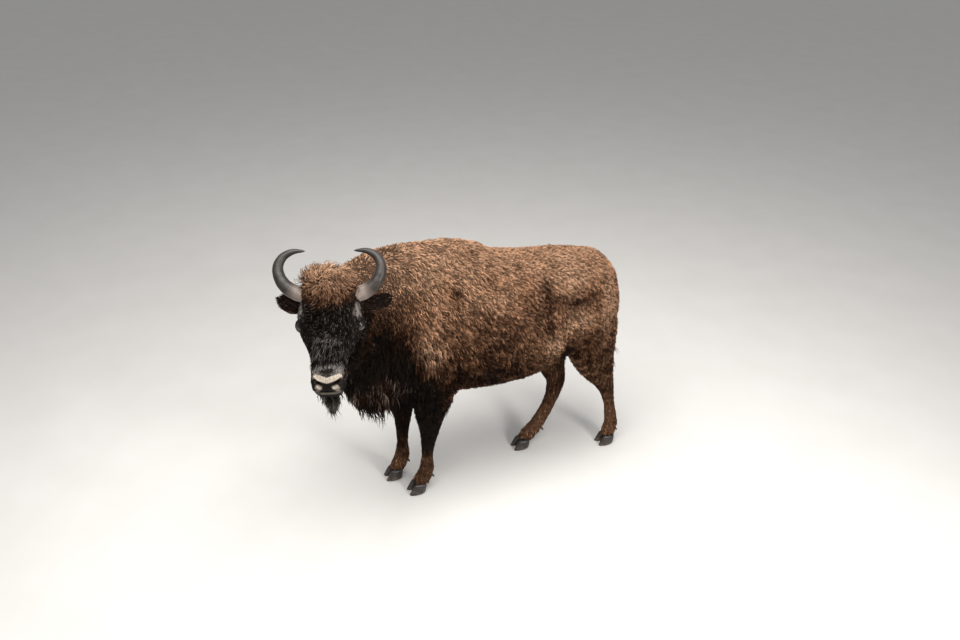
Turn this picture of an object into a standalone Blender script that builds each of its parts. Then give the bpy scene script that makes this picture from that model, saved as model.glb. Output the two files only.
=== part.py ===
"""A standing European bison (wisent), life size, as a museum model. Metres, +Z up.

The animal stands along Y with its head towards -Y and its left side at +X, and looks over its left
shoulder. The flesh is lofted as a few overlapping forms, fused into one body, and parted by thin
sheets into the pieces a person would name. Horns, eyes, ears, tail, mane, beard, claws and dewclaws
are pieces of their own, seated in the body with a small gap. All sizes are those of the outline,
out to the tips of the coat. It is drawn with the hump 1.469 high and scaled at the end.
"""

import math

import bmesh
import bpy
import numpy as np
from mathutils import Matrix, Vector

# ---- driving dimensions ----
HUMP_HEIGHT = 1.55
DRAWN_HUMP = 1.469
GAP = 0.0004
RING_POINTS = 32
VOXEL = 0.013
SMOOTH_ROUNDS = 4
BODY_TRIANGLES = 2600

# ---- head pose: the point midway between the eyes, and how the skull is turned ----
HEAD_CENTRE = Vector((0.385, -0.921, 1.291))
HEAD_TURN = math.radians(70)
HEAD_DROP = math.radians(34.5)

CLAW_LENGTH = 0.098
CLAW_WIDTH = 0.046
CLAW_HEIGHT = 0.062
CLEFT = 0.008
EYE_RADIUS = 0.021

SIDES = {"left": 1, "right": -1}

COLOURS = {
    "body_coat": ((0.19, 0.105, 0.058), 0.85),
    "face_coat": ((0.06, 0.042, 0.032), 0.85),
    "leg_coat": ((0.07, 0.042, 0.028), 0.85),
    "long_hair": ((0.10, 0.075, 0.05), 0.85),
    "muzzle": ((0.16, 0.13, 0.11), 0.5),
    "horn": ((0.23, 0.21, 0.19), 0.45),
    "hoof": ((0.07, 0.068, 0.065), 0.5),
    "eye": ((0.012, 0.008, 0.006), 0.08),
}


def head_matrix():
    """Carries the head's own frame to the world: -Y runs from poll to nose, +Z stands off the brow."""
    turn = Matrix.Rotation(HEAD_TURN, 4, "Z")
    drop = Matrix.Rotation(HEAD_DROP, 4, "X")
    return Matrix.Translation(HEAD_CENTRE) @ turn @ drop


# ---- the forms of the body ----

#   y, x, top, widest, bottom, half width, upper power, lower power
TRUNK = [
    (-0.76, 0.05, 1.25, 1.03, 0.84, 0.10, 2.0, 2.0),
    (-0.70, 0.04, 1.395, 1.00, 0.74, 0.17, 2.0, 2.0),
    (-0.58, 0.02, 1.450, 0.98, 0.67, 0.225, 1.9, 2.0),
    (-0.44, 0.00, 1.460, 0.97, 0.63, 0.26, 1.8, 2.1),
    (-0.30, 0.00, 1.456, 0.95, 0.605, 0.28, 1.75, 2.1),
    (-0.15, 0.00, 1.436, 0.93, 0.60, 0.30, 1.75, 2.1),
    (-0.05, 0.00, 1.402, 0.925, 0.595, 0.31, 1.8, 2.1),
    (0.03, 0.00, 1.352, 0.92, 0.595, 0.315, 1.9, 2.1),
    (0.16, 0.00, 1.325, 0.92, 0.60, 0.315, 2.0, 2.1),
    (0.30, 0.00, 1.302, 0.94, 0.64, 0.30, 2.05, 2.1),
    (0.44, 0.00, 1.288, 0.96, 0.70, 0.28, 2.1, 2.1),
    (0.57, 0.00, 1.265, 0.97, 0.74, 0.255, 2.15, 2.1),
    (0.65, 0.00, 1.240, 0.98, 0.77, 0.22, 2.2, 2.1),
    (0.70, 0.00, 1.190, 0.98, 0.80, 0.17, 2.1, 2.0),
    (0.73, 0.00, 1.100, 0.96, 0.85, 0.09, 2.0, 2.0),
]

#   x, y, z, half width, half depth
NECK = [
    (0.00, -0.36, 1.135, 0.21, 0.315),
    (0.02, -0.51, 1.140, 0.205, 0.325),
    (0.07, -0.65, 1.145, 0.190, 0.325),
    (0.14, -0.765, 1.165, 0.168, 0.298),
    (0.21, -0.835, 1.180, 0.152, 0.250),
    (0.27, -0.870, 1.205, 0.125, 0.190),
]


THROAT_MANE = [
    (0.12, -0.68, 0.95, 0.13, 0.22),
    (0.12, -0.68, 0.83, 0.090, 0.185),
    (0.105, -0.66, 0.70, 0.062, 0.135),
    (0.10, -0.65, 0.59, 0.032, 0.080),
    (0.10, -0.65, 0.52, 0.010, 0.025),
]

# in the head's own frame: y, x, top, widest, bottom, half width, upper power, lower power
HEAD = [
    (0.215, 0.0, 0.09, -0.02, -0.13, 0.085, 2.0, 2.0),
    (0.17, 0.0, 0.145, -0.02, -0.16, 0.130, 2.1, 2.0),
    (0.12, 0.0, 0.160, -0.01, -0.175, 0.143, 2.2, 2.0),
    (0.06, 0.0, 0.140, 0.0, -0.175, 0.148, 2.2, 2.0),
    (0.00, 0.0, 0.105, 0.005, -0.160, 0.149, 2.2, 2.0),
    (-0.06, 0.0, 0.080, 0.0, -0.142, 0.121, 2.2, 2.0),
    (-0.12, 0.0, 0.066, -0.005, -0.125, 0.098, 2.2, 2.0),
    (-0.18, 0.0, 0.058, -0.01, -0.110, 0.084, 2.3, 2.1),
    (-0.23, 0.0, 0.052, -0.015, -0.100, 0.078, 2.4, 2.2),
    (-0.27, 0.0, 0.045, -0.02, -0.095, 0.076, 2.5, 2.3),
    (-0.300, 0.0, 0.028, -0.025, -0.087, 0.066, 2.5, 2.3),
    (-0.315, 0.0, 0.000, -0.03, -0.068, 0.045, 2.3, 2.2),
]

FORELOCK = [
    (0.0, 0.215, 0.10, 0.095, 0.03),
    (0.0, 0.155, 0.150, 0.118, 0.052),
    (0.0, 0.085, 0.138, 0.122, 0.055),
    (0.0, 0.015, 0.098, 0.105, 0.040),
    (0.0, -0.040, 0.070, 0.065, 0.020),
]

BEARD = [
    (0.0, -0.232, -0.096, 0.040, 0.022),
    (0.0, -0.250, -0.116, 0.058, 0.038),
    (0.0, -0.280, -0.145, 0.056, 0.042),
    (0.0, -0.310, -0.178, 0.044, 0.034),
    (0.0, -0.335, -0.210, 0.026, 0.021),
    (0.0, -0.352, -0.232, 0.008, 0.007),
]

# each leg runs from inside the trunk to the top of its claws: x, y, z, half width, half depth
FORELEG = [
    (0.095, 0.045, 1.19, 0.080, 0.090),
    (0.122, 0.070, 1.02, 0.112, 0.135),
    (0.138, 0.092, 0.85, 0.112, 0.150),
    (0.140, 0.105, 0.69, 0.092, 0.132),
    (0.122, 0.090, 0.55, 0.070, 0.097),
    (0.108, 0.085, 0.41, 0.054, 0.061),
    (0.100, 0.078, 0.33, 0.042, 0.047),
    (0.094, 0.072, 0.23, 0.035, 0.038),
    (0.090, 0.068, 0.145, 0.042, 0.048),
    (0.087, 0.048, 0.095, 0.044, 0.050),
    (0.085, 0.018, 0.050, 0.042, 0.046),
]

HINDLEG = [
    (0.085, -0.23, 1.16, 0.080, 0.090),
    (0.115, -0.21, 1.04, 0.110, 0.145),
    (0.132, -0.185, 0.91, 0.115, 0.168),
    (0.140, -0.167, 0.76, 0.105, 0.155),
    (0.125, -0.125, 0.63, 0.080, 0.122),
    (0.108, -0.062, 0.50, 0.055, 0.078),
    (0.098, -0.020, 0.40, 0.044, 0.050),
    (0.088, 0.012, 0.28, 0.035, 0.038),
    (0.082, 0.036, 0.155, 0.042, 0.046),
    (0.077, 0.032, 0.095, 0.044, 0.048),
    (0.073, 0.018, 0.050, 0.042, 0.046),
]

HINDLEG_STEPPED = [
    (0.085, 0.28, 1.16, 0.080, 0.090),
    (0.115, 0.27, 1.04, 0.110, 0.145),
    (0.132, 0.245, 0.91, 0.115, 0.168),
    (0.140, 0.215, 0.76, 0.105, 0.16),
    (0.125, 0.205, 0.63, 0.080, 0.125),
    (0.108, 0.215, 0.50, 0.055, 0.085),
    (0.100, 0.240, 0.40, 0.044, 0.065),
    (0.090, 0.200, 0.27, 0.037, 0.048),
    (0.082, 0.116, 0.135, 0.042, 0.048),
    (0.077, 0.064, 0.090, 0.044, 0.050),
    (0.073, 0.025, 0.050, 0.042, 0.046),
]

# leg name: its path, its side, and the y of the middle of its hoof
LEGS = {
    "foreleg_left": (FORELEG, 1, -0.468),
    "foreleg_right": (FORELEG, -1, -0.550),
    "hindleg_left": (HINDLEG, 1, 0.722),
    "hindleg_right": (HINDLEG_STEPPED, -1, 0.235),
}

TAIL = [
    (0.0, 0.60, 1.14, 0.034, 0.034),
    (0.0, 0.68, 1.11, 0.032, 0.032),
    (0.0, 0.730, 1.03, 0.025, 0.025),
    (0.0, 0.745, 0.90, 0.022, 0.022),
    (0.0, 0.748, 0.76, 0.026, 0.026),
    (0.0, 0.750, 0.63, 0.033, 0.033),
    (0.0, 0.752, 0.51, 0.020, 0.020),
    (0.0, 0.755, 0.43, 0.005, 0.005),
]

# in the head's own frame: x, y, z, radius
HORN = [
    (0.098, 0.128, 0.055, 0.0350),
    (0.148, 0.139, 0.067, 0.0345),
    (0.192, 0.160, 0.086, 0.0310),
    (0.221, 0.198, 0.106, 0.0270),
    (0.228, 0.243, 0.124, 0.0235),
    (0.207, 0.282, 0.139, 0.0190),
    (0.163, 0.304, 0.149, 0.0130),
    (0.107, 0.306, 0.150, 0.0045),
]

# in the head's own frame: x, y, z, half height, half thickness, depth of the cup
EAR = [
    (0.105, 0.118, -0.040, 0.026, 0.018, 0.000),
    (0.137, 0.130, -0.052, 0.036, 0.016, 0.010),
    (0.170, 0.143, -0.063, 0.050, 0.013, 0.018),
    (0.203, 0.157, -0.073, 0.054, 0.011, 0.020),
    (0.236, 0.172, -0.081, 0.044, 0.009, 0.014),
    (0.266, 0.187, -0.085, 0.018, 0.006, 0.004),
]


# ---- materials ----


def material(name):
    found = bpy.data.materials.get(name)
    if found:
        return found
    colour, roughness = COLOURS[name]
    made = bpy.data.materials.new(name)
    made.use_nodes = True
    shader = made.node_tree.nodes["Principled BSDF"]
    shader.inputs["Base Color"].default_value = (*colour, 1)
    shader.inputs["Roughness"].default_value = roughness
    made.diffuse_color = (*colour, 1)
    return made


def painted(obj, name):
    obj.data.materials.clear()
    obj.data.materials.append(material(name))
    return obj


# ---- lofting ----


def eased(rows, count):
    """Rows of numbers, read at `count` even steps along a Catmull-Rom spline through them."""
    rows = np.asarray(rows, float)
    padded = np.vstack([2 * rows[0] - rows[1], rows, 2 * rows[-1] - rows[-2]])
    at = np.linspace(0, len(rows) - 1, count)
    low = np.minimum(at.astype(int), len(rows) - 2)
    t = (at - low)[:, None]
    a, b, c, d = (padded[low + i] for i in range(4))
    return 0.5 * (2 * b + (c - a) * t + (2 * a - 5 * b + 4 * c - d) * t**2 + (3 * b - a - 3 * c + d) * t**3)


def rounded(angles, power):
    """Cosine and sine of a superellipse: power 2 is an ellipse, less is pointed, more is square."""
    cos, sin = np.cos(angles), np.sin(angles)
    return np.sign(cos) * np.abs(cos) ** (2 / power), np.sign(sin) * np.abs(sin) ** (2 / power)


def shell(name, rings):
    """A closed mesh of triangles from rings of points, with a fan on each end."""
    rings = np.asarray(rings, float)
    count, around = rings.shape[:2]
    ends = rings[[0, -1]].mean(axis=1)
    points = np.vstack([rings.reshape(-1, 3), ends])
    faces = []
    for i in range(count - 1):
        for j in range(around):
            k = (j + 1) % around
            faces.append((i * around + j, i * around + k, (i + 1) * around + k))
            faces.append((i * around + j, (i + 1) * around + k, (i + 1) * around + j))
    first, last = count * around, count * around + 1
    for j in range(around):
        k = (j + 1) % around
        faces.append((first, k, j))
        faces.append((last, (count - 1) * around + j, (count - 1) * around + k))
    return solid(name, points.tolist(), faces)


def solid(name, points, faces):
    """An object from points and faces, its faces turned outwards."""
    mesh = bpy.data.meshes.new(name)
    mesh.from_pydata(points, [], faces)
    work = bmesh.new()
    work.from_mesh(mesh)
    bmesh.ops.recalc_face_normals(work, faces=work.faces)
    if work.calc_volume(signed=True) < 0:
        bmesh.ops.reverse_faces(work, faces=work.faces)
    work.to_mesh(mesh)
    work.free()
    mesh.shade_smooth()
    return linked(name, mesh)


def linked(name, mesh):
    made = bpy.data.objects.new(name, mesh)
    bpy.context.scene.collection.objects.link(made)
    return made


def upright_loft(name, stations, steps, around=RING_POINTS):
    """A form along Y with upright rings, of unlike upper and lower halves."""
    angles = np.arange(around) * 2 * math.pi / around
    over = np.sin(angles) >= 0
    rings = []
    for y, x, top, widest, bottom, half, upper, lower in eased(stations, steps):
        cos_up, sin_up = rounded(angles, upper)
        cos_low, sin_low = rounded(angles, lower)
        across = np.where(over, cos_up, cos_low) * half
        height = np.where(over, sin_up * (top - widest), sin_low * (widest - bottom))
        rings.append(np.stack([x + across, np.full(around, y), widest + height], axis=1))
    return shell(name, rings)


def path_loft(name, stations, steps, across=(1, 0, 0), around=RING_POINTS, grow=0.0, power=2.0):
    """A form along a path, of superellipse rings square to it, grown all over by `grow`."""
    rows = eased(stations, steps)
    centres = rows[:, :3]
    along = np.gradient(centres, axis=0)
    along /= np.linalg.norm(along, axis=1, keepdims=True)
    centres[0] -= along[0] * grow
    centres[-1] += along[-1] * grow
    side = np.asarray(across, float) - along * (along @ np.asarray(across, float))[:, None]
    side /= np.linalg.norm(side, axis=1, keepdims=True)
    fore = np.cross(along, side)
    cos, sin = rounded(np.arange(around) * 2 * math.pi / around, power)
    wide = side[:, None] * ((rows[:, 3:4] + grow) * cos)[..., None]
    deep = fore[:, None] * ((rows[:, 4:5] + grow) * sin)[..., None]
    return shell(name, centres[:, None] + wide + deep)


def leg_path(name):
    path, sign, hoof_y = LEGS[name]
    return [(sign * x, hoof_y + y, z, wide, deep) for x, y, z, wide, deep in path]


# ---- the fused body ----


def build_body():
    into_head = head_matrix()
    forms = [
        upright_loft("trunk", TRUNK, 40),
        path_loft("neck", NECK, 20, (1, 0.6, 0), power=2.3),
    ]
    forms += [path_loft(name, leg_path(name), 36) for name in LEGS]
    for made in (upright_loft("head", HEAD, 30), path_loft("forelock", FORELOCK, 14)):
        made.data.transform(into_head)
        forms.append(made)
    return fused("body", forms)


def fused(name, forms):
    """Joins overlapping forms into one skin by a voxel remesh, smooths it and thins its triangles."""
    work = bmesh.new()
    for form in forms:
        work.from_mesh(form.data)
        bpy.data.objects.remove(form)
    mesh = bpy.data.meshes.new(name)
    work.to_mesh(mesh)
    work.free()
    body = linked(name, mesh)
    remesh = body.modifiers.new("fuse", "REMESH")
    remesh.mode = "VOXEL"
    remesh.voxel_size = VOXEL
    smooth = body.modifiers.new("smooth", "SMOOTH")
    smooth.factor = 0.5
    smooth.iterations = SMOOTH_ROUNDS
    apply_modifiers(body)
    thin = body.modifiers.new("thin", "DECIMATE")
    thin.ratio = BODY_TRIANGLES / (2 * len(body.data.polygons))
    apply_modifiers(body)
    return body


def apply_modifiers(obj):
    graph = bpy.context.evaluated_depsgraph_get()
    obj.data = bpy.data.meshes.new_from_object(obj.evaluated_get(graph))
    obj.modifiers.clear()


def carve(obj, cutter):
    """Cuts the cutter out of the object, and drops the cutter."""
    cutter.hide_render = True
    cutter.display_type = "WIRE"
    cut = obj.modifiers.new("cut", "BOOLEAN")
    cut.operation = "DIFFERENCE"
    cut.solver = "EXACT"
    cut.object = cutter
    apply_modifiers(obj)
    tidy(obj.data)
    bpy.data.objects.remove(cutter)


def tidy(mesh):
    """Drops the loose chips that a cut leaves."""
    work = bmesh.new()
    work.from_mesh(mesh)
    bmesh.ops.triangulate(work, faces=work.faces)
    chips = [face for faces in loose_islands(work) if len(faces) < 30 for face in faces]
    bmesh.ops.delete(work, geom=chips, context="FACES")
    work.to_mesh(mesh)
    work.free()


# ---- the pieces seated in the body: each maker takes the amount by which it is grown ----


def horn(sign, grow=0.0):
    rows = [(sign * x, y, z, r, r) for x, y, z, r in HORN]
    made = path_loft("horn", rows, 15, (0, 0, 1), 10, grow)
    made.data.transform(head_matrix())
    return made


def ear(sign, grow=0.0):
    """A leaf-shaped cup: rings flattened along the ear's depth and bowed backwards."""
    grow *= 3
    rows = eased(EAR, 7)
    angles = np.arange(12) * 2 * math.pi / 12
    rings = []
    for i, (x, y, z, tall, thick, cup) in enumerate(rows):
        x += grow * (i == len(rows) - 1) - grow * (i == 0)
        high = (tall + grow) * np.cos(angles)
        deep = (thick + grow) * np.sin(angles) + cup * (np.cos(angles) ** 2 - 0.5)
        rings.append(np.stack([sign * (x + 0.35 * deep), y + high, z + 0.94 * deep], axis=1))
    made = shell("ear", rings)
    made.data.transform(head_matrix())
    return made


def ball(name, centre, radii, segments, rows):
    work = bmesh.new()
    bmesh.ops.create_uvsphere(work, u_segments=segments, v_segments=rows, radius=1)
    bmesh.ops.transform(work, matrix=Matrix.Translation(centre) @ Matrix.Diagonal((*radii, 1)), verts=work.verts)
    mesh = bpy.data.meshes.new(name)
    work.to_mesh(mesh)
    work.free()
    mesh.shade_smooth()
    made = linked(name, mesh)
    made.data.transform(head_matrix())
    return made


def eye(sign, grow=0.0):
    radius = EYE_RADIUS + grow
    return ball("eye", (sign * 0.128, 0.0, 0.018), (radius, radius, radius), 10, 7)


def socket(sign, grow=0.0):
    """The shallow hollow that the eye looks out of."""
    return ball("socket", (sign * 0.153, -0.004, 0.020), (0.020, 0.030, 0.022), 10, 7)


def hanging(stations):
    def make(sign, grow=0.0):
        return path_loft("hanging", stations, 10, (1, 0.4, 0), 12, grow)

    return make


def beard(sign, grow=0.0):
    made = path_loft("beard", BEARD, 7, (1, 0, 0), 10, grow)
    made.data.transform(head_matrix())
    return made


def claw(leg, half, grow=0.0):
    """One of a hoof's two claws: flat sole, flat inner wall, a toe that slopes back as it rises."""
    path, sign, hoof_y = LEGS[leg]
    middle = sign * path[-1][0]
    around = 10
    angles = np.arange(around) * 2 * math.pi / around
    cos, sin = rounded(angles, 2.4)
    rings = []
    for rise in np.linspace(0, 1, 3):
        z = rise * (CLAW_HEIGHT + grow)
        length = CLAW_LENGTH * (1 - 0.24 * rise) / 2 + grow
        width = CLAW_WIDTH * (1 - 0.16 * rise) / 2 + grow
        toe = np.clip(-sin, 0, 1) ** 2
        across = CLEFT / 2 - grow + width * (1 + cos * (1 - 0.30 * toe)) + 0.004 * toe * rise
        along = 0.024 * rise + length * sin
        rings.append(np.stack([middle + half * across, hoof_y + along, np.full(around, z)], axis=1))
    if grow:
        rings.insert(0, rings[0] - np.array([0, 0, 0.02]))
    return shell("claw", rings)


def dewclaw(leg, half, grow=0.0):
    """A small blunt cone behind the fetlock."""
    path, sign, hoof_y = LEGS[leg]
    middle = sign * path[-3][0]
    back = hoof_y + path[-3][1]
    rows = [
        (middle + half * 0.014, back + 0.014, 0.116, 0.012, 0.012),
        (middle + half * 0.019, back + 0.032, 0.102, 0.013, 0.013),
        (middle + half * 0.023, back + 0.044, 0.088, 0.010, 0.010),
        (middle + half * 0.025, back + 0.048, 0.078, 0.004, 0.004),
    ]
    return path_loft("dewclaw", rows, 4, (1, 0, 0), 6, grow)


# ---- parting the body ----


def sheet(name, line, half_width, place):
    """A thin sheet: a line of (y, z) points given a thickness of GAP and drawn out along X."""
    line = np.asarray(line, float)
    step = np.diff(line, axis=0)
    step /= np.linalg.norm(step, axis=1, keepdims=True)
    normal = np.stack([-step[:, 1], step[:, 0]], axis=1)
    mitre = np.vstack([normal[:1], normal[:-1] + normal[1:], normal[-1:]])
    mitre /= (mitre * np.vstack([normal, normal[-1:]])).sum(axis=1, keepdims=True)
    edge = np.vstack([line + mitre * GAP / 2, (line - mitre * GAP / 2)[::-1]])
    count = len(edge)
    points = [(-half_width, y, z) for y, z in edge] + [(half_width, y, z) for y, z in edge]
    faces = [tuple(range(count)), tuple(range(2 * count - 1, count - 1, -1))]
    faces += [(i, (i + 1) % count, (i + 1) % count + count, i + count) for i in range(count)]
    made = solid(name, points, faces)
    made.data.transform(place)
    return made


def level_sheet(name, x, y, z, half_width, half_depth, tilt=0.0):
    place = Matrix.Translation((x, y, z)) @ Matrix.Rotation(tilt, 4, "X")
    return sheet(name, [(-half_depth, 0), (half_depth, 0)], half_width, place)


MOUTH_FRONT = Vector((-0.40, 0.008))
MOUTH_BACK = Vector((-0.07, -0.088))
MUZZLE_Y = -0.185


def body_sheets():
    into_head = head_matrix()
    mouth = [MOUTH_FRONT, MOUTH_BACK, (MOUTH_BACK.x, -0.20)]
    share = (MUZZLE_Y - MOUTH_FRONT.x) / (MOUTH_BACK.x - MOUTH_FRONT.x)
    mouth_z = MOUTH_FRONT.y + share * (MOUTH_BACK.y - MOUTH_FRONT.y)
    neck_place = Matrix.Translation((0.03, -0.62, 1.05)) @ Matrix.Rotation(math.radians(17), 4, "Z")
    sheets = [
        sheet("jaw", mouth, 0.25, into_head),
        sheet("muzzle", [(MUZZLE_Y, mouth_z), (MUZZLE_Y, 0.30)], 0.25, into_head),
        sheet("poll", [(0.27, 0.18), (0.02, -0.19), (-0.34, -0.20)], 0.27, into_head),
        sheet("neck", [(0, -0.50), (0, 0.50)], 0.45, neck_place),
        sheet("girth", [(-0.185, 0.50), (-0.185, 1.60)], 0.45, Matrix()),
        sheet("flank", [(0.25, 0.50), (0.43, 1.60)], 0.45, Matrix()),
    ]
    for name in LEGS:
        path, sign, hoof_y = LEGS[name]
        rows = leg_path(name)
        top, knee, fetlock = rows[-7], rows[-6], rows[-3]
        sheets.append(level_sheet("top", sign * 0.16, top[1], 0.578, 0.155, 0.20))
        sheets.append(level_sheet("knee", knee[0], knee[1], knee[2], 0.08, 0.14))
        sheets.append(level_sheet("fetlock", fetlock[0], fetlock[1], fetlock[2] + 0.03, 0.075, 0.10))
    return sheets


def seeds():
    """A point near the middle of each piece of the parted body, and its material."""
    into_head = head_matrix()
    found = {
        "head": (into_head @ Vector((0, 0.05, 0.0)), "face_coat"),
        "muzzle": (into_head @ Vector((0, -0.25, 0.0)), "muzzle"),
        "lower_jaw": (into_head @ Vector((0, -0.18, -0.10)), "face_coat"),
        "neck": (Vector((0.14, -0.74, 1.12)), "body_coat"),
        "forequarters": (Vector((0, -0.36, 1.03)), "body_coat"),
        "barrel": (Vector((0, 0.08, 0.94)), "body_coat"),
        "hindquarters": (Vector((0, 0.51, 0.95)), "body_coat"),
    }
    for name in LEGS:
        rows = leg_path(name)
        found[name + "_upper"] = (Vector(rows[-7][:3]).lerp(Vector(rows[-6][:3]), 0.5), "leg_coat")
        found[name + "_lower"] = (Vector(rows[-6][:3]).lerp(Vector(rows[-3][:3]), 0.5), "leg_coat")
        found[name + "_foot"] = (Vector(rows[-2][:3]), "leg_coat")
    return found


def part_body(body):
    """Cuts the body with the thin sheets and names each loose piece after the nearest seed."""
    for made in body_sheets():
        carve(body, made)
    work = bmesh.new()
    work.from_mesh(body.data)
    bpy.data.objects.remove(body)
    islands = loose_islands(work)
    wanted = seeds()
    if len(islands) != len(wanted):
        sizes = sorted(len(faces) for faces in islands)
        raise RuntimeError(f"the body came apart into {len(islands)} pieces, not {len(wanted)}: {sizes}")
    pieces = {}
    for faces in islands:
        corners = [corner.co for face in faces for corner in face.verts]
        middle = sum(corners, Vector()) / len(corners)
        name = min(wanted, key=lambda key: (wanted[key][0] - middle).length)
        if name in pieces:
            raise RuntimeError(f"two pieces lie nearest to the seed of {name}")
        pieces[name] = painted(object_from(name, faces), wanted[name][1])
    work.free()
    return pieces


def loose_islands(work):
    left = set(work.faces)
    islands = []
    while left:
        stack = [left.pop()]
        faces = [stack[0]]
        while stack:
            for edge in stack.pop().edges:
                for face in edge.link_faces:
                    if face in left:
                        left.remove(face)
                        faces.append(face)
                        stack.append(face)
        islands.append(faces)
    return islands


def object_from(name, faces):
    """A piece of its own from some of a body's faces, its flat cuts cleared of needless corners."""
    number = {}
    rows = []
    for face in faces:
        rows.append([number.setdefault(corner, len(number)) for corner in face.verts])
    made = solid(name, [corner.co[:] for corner in number], rows)
    work = bmesh.new()
    work.from_mesh(made.data)
    bmesh.ops.dissolve_limit(work, angle_limit=math.radians(0.6), verts=work.verts, edges=work.edges)
    bmesh.ops.triangulate(work, faces=work.faces)
    work.to_mesh(made.data)
    work.free()
    return made


# ---- putting it together ----


def seated_pieces():
    """Name, maker, its arguments and material of each piece that sits in the body."""
    pieces = [
        ("throat_mane", hanging(THROAT_MANE), (1,), "long_hair"),
        ("tail", hanging(TAIL), (1,), "long_hair"),
        ("beard", beard, (1,), "long_hair"),
    ]
    for side, sign in SIDES.items():
        pieces.append(("horn_" + side, horn, (sign,), "horn"))
        pieces.append(("ear_" + side, ear, (sign,), "face_coat"))
        pieces.append(("eye_" + side, eye, (sign,), "eye"))
    for leg in LEGS:
        for side, half in SIDES.items():
            pieces.append((f"{leg}_claw_{side}", claw, (leg, half), "hoof"))
            pieces.append((f"{leg}_dewclaw_{side}", dewclaw, (leg, half), "hoof"))
    return pieces


def settle(objects):
    """Scales the whole animal to its height and puts the middle of its underside on the origin."""
    scale = HUMP_HEIGHT / DRAWN_HUMP
    for obj in objects:
        obj.data.transform(Matrix.Scale(scale, 4))
    corners = np.array([corner.co[:] for obj in objects for corner in obj.data.vertices])
    low, high = corners.min(axis=0), corners.max(axis=0)
    shift = Vector((-(low[0] + high[0]) / 2, -(low[1] + high[1]) / 2, -low[2]))
    for obj in objects:
        obj.data.transform(Matrix.Translation(shift))
    return shift


def main():
    for obj in list(bpy.data.objects):
        bpy.data.objects.remove(obj)
    body = build_body()
    for sign in SIDES.values():
        carve(body, socket(sign))
    objects = []
    for name, make, values, finish in seated_pieces():
        carve(body, make(*values, grow=GAP))
        made = make(*values)
        made.name = name
        objects.append(painted(made, finish))
    objects += part_body(body).values()
    settle(objects)


main()
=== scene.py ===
"""A life-size wisent with its coat: one skin over the flesh, and the coat as thousands of small locks.

Everything is in metres. The head has a frame of its own: +X to the animal's left, -Y towards the nose,
+Z off the face, and its origin midway between the eyes.
"""

import math

import bmesh
import bpy
import numpy as np
from mathutils import Matrix, Vector


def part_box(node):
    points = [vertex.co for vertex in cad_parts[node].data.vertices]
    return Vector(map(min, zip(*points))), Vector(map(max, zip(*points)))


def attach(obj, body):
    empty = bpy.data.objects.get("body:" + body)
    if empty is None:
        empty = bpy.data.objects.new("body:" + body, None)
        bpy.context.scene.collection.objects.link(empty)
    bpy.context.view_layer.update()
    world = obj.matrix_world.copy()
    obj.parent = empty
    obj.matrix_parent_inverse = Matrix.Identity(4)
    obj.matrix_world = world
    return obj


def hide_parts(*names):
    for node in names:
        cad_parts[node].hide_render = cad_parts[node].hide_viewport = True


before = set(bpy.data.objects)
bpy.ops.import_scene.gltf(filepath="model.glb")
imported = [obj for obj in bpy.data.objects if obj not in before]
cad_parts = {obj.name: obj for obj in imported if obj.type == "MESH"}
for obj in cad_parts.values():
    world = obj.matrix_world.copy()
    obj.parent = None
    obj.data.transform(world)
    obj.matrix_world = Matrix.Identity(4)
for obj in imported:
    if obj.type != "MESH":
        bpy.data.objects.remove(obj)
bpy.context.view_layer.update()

LEGS = ("foreleg_left", "foreleg_right", "hindleg_left", "hindleg_right")
SIDES = {"left": 1, "right": -1}
TRUNK_NODES = ("head", "muzzle", "lower_jaw", "neck", "forequarters", "barrel", "hindquarters", "tail")
LEG_NODES = tuple(f"{leg}_{part}" for leg in LEGS for part in ("upper", "lower", "foot"))
EAR_NODES = ("ear_left", "ear_right")

DOWN = np.array([0.0, 0.0, -1.0])
BACK = np.array([0.0, 1.0, 0.0])


# ---- places, read from the frame ----


def middle(node):
    """The centre of a node's box: half-way between its two corners."""
    low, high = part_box(node)
    return (np.array(low) + np.array(high)) / 2


HEAD_TURN = math.radians(70)
HEAD_DROP = math.radians(34.5)
HEAD_AXES = np.array(Matrix.Rotation(HEAD_TURN, 3, "Z") @ Matrix.Rotation(HEAD_DROP, 3, "X"))
EYE_RISE = 0.019
EYE_PLACE = np.array([0.135, 0.0, EYE_RISE])
EYE_RADIUS = 0.0222
HEAD_ORIGIN = (middle("eye_left") + middle("eye_right")) / 2 - HEAD_AXES @ [0, 0, EYE_RISE]
MIDLINE, TRUNK_MIDDLE, TRUNK_HEIGHT = middle("barrel")
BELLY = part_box("barrel")[0].z
NECK_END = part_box("forequarters")[0].y
HUMP_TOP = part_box("forequarters")[1].z
RUMP_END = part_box("hindquarters")[1].y


def to_head(points):
    """Points of the world in the head's frame: less its origin, along its axes."""
    return (points - HEAD_ORIGIN) @ HEAD_AXES


def from_head(points):
    """Points of the head's frame in the world: along its axes, plus its origin."""
    return points @ HEAD_AXES.T + HEAD_ORIGIN


# ---- small helpers on whole arrays ----


def unit(vectors):
    """Each vector over its own length."""
    return vectors / np.maximum(np.linalg.norm(vectors, axis=-1, keepdims=True), 1e-9)


def ease(values, start, end):
    """0 at start, 1 at end, with a smooth S between; start may be the greater."""
    t = np.clip((values - start) / (end - start), 0, 1)
    return t * t * (3 - 2 * t)


def bell(values, reach):
    """1 at 0, falling to 0.37 at the reach: e to minus the square of the value over the reach."""
    return np.exp(-((values / reach) ** 2))


def bump(points, centre, radii):
    """A soft mound: 1 at the centre, falling as a bell over the radii, one for each axis."""
    return np.exp(-(((points - centre) / radii) ** 2).sum(axis=1))


def waves(size, seed):
    """Nine sine waves of one length and unlike directions: their ways and their starts."""
    draw = np.random.default_rng(seed)
    return unit(draw.normal(size=(9, 3))) * math.tau / size, draw.uniform(0, math.tau, 9)


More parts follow.
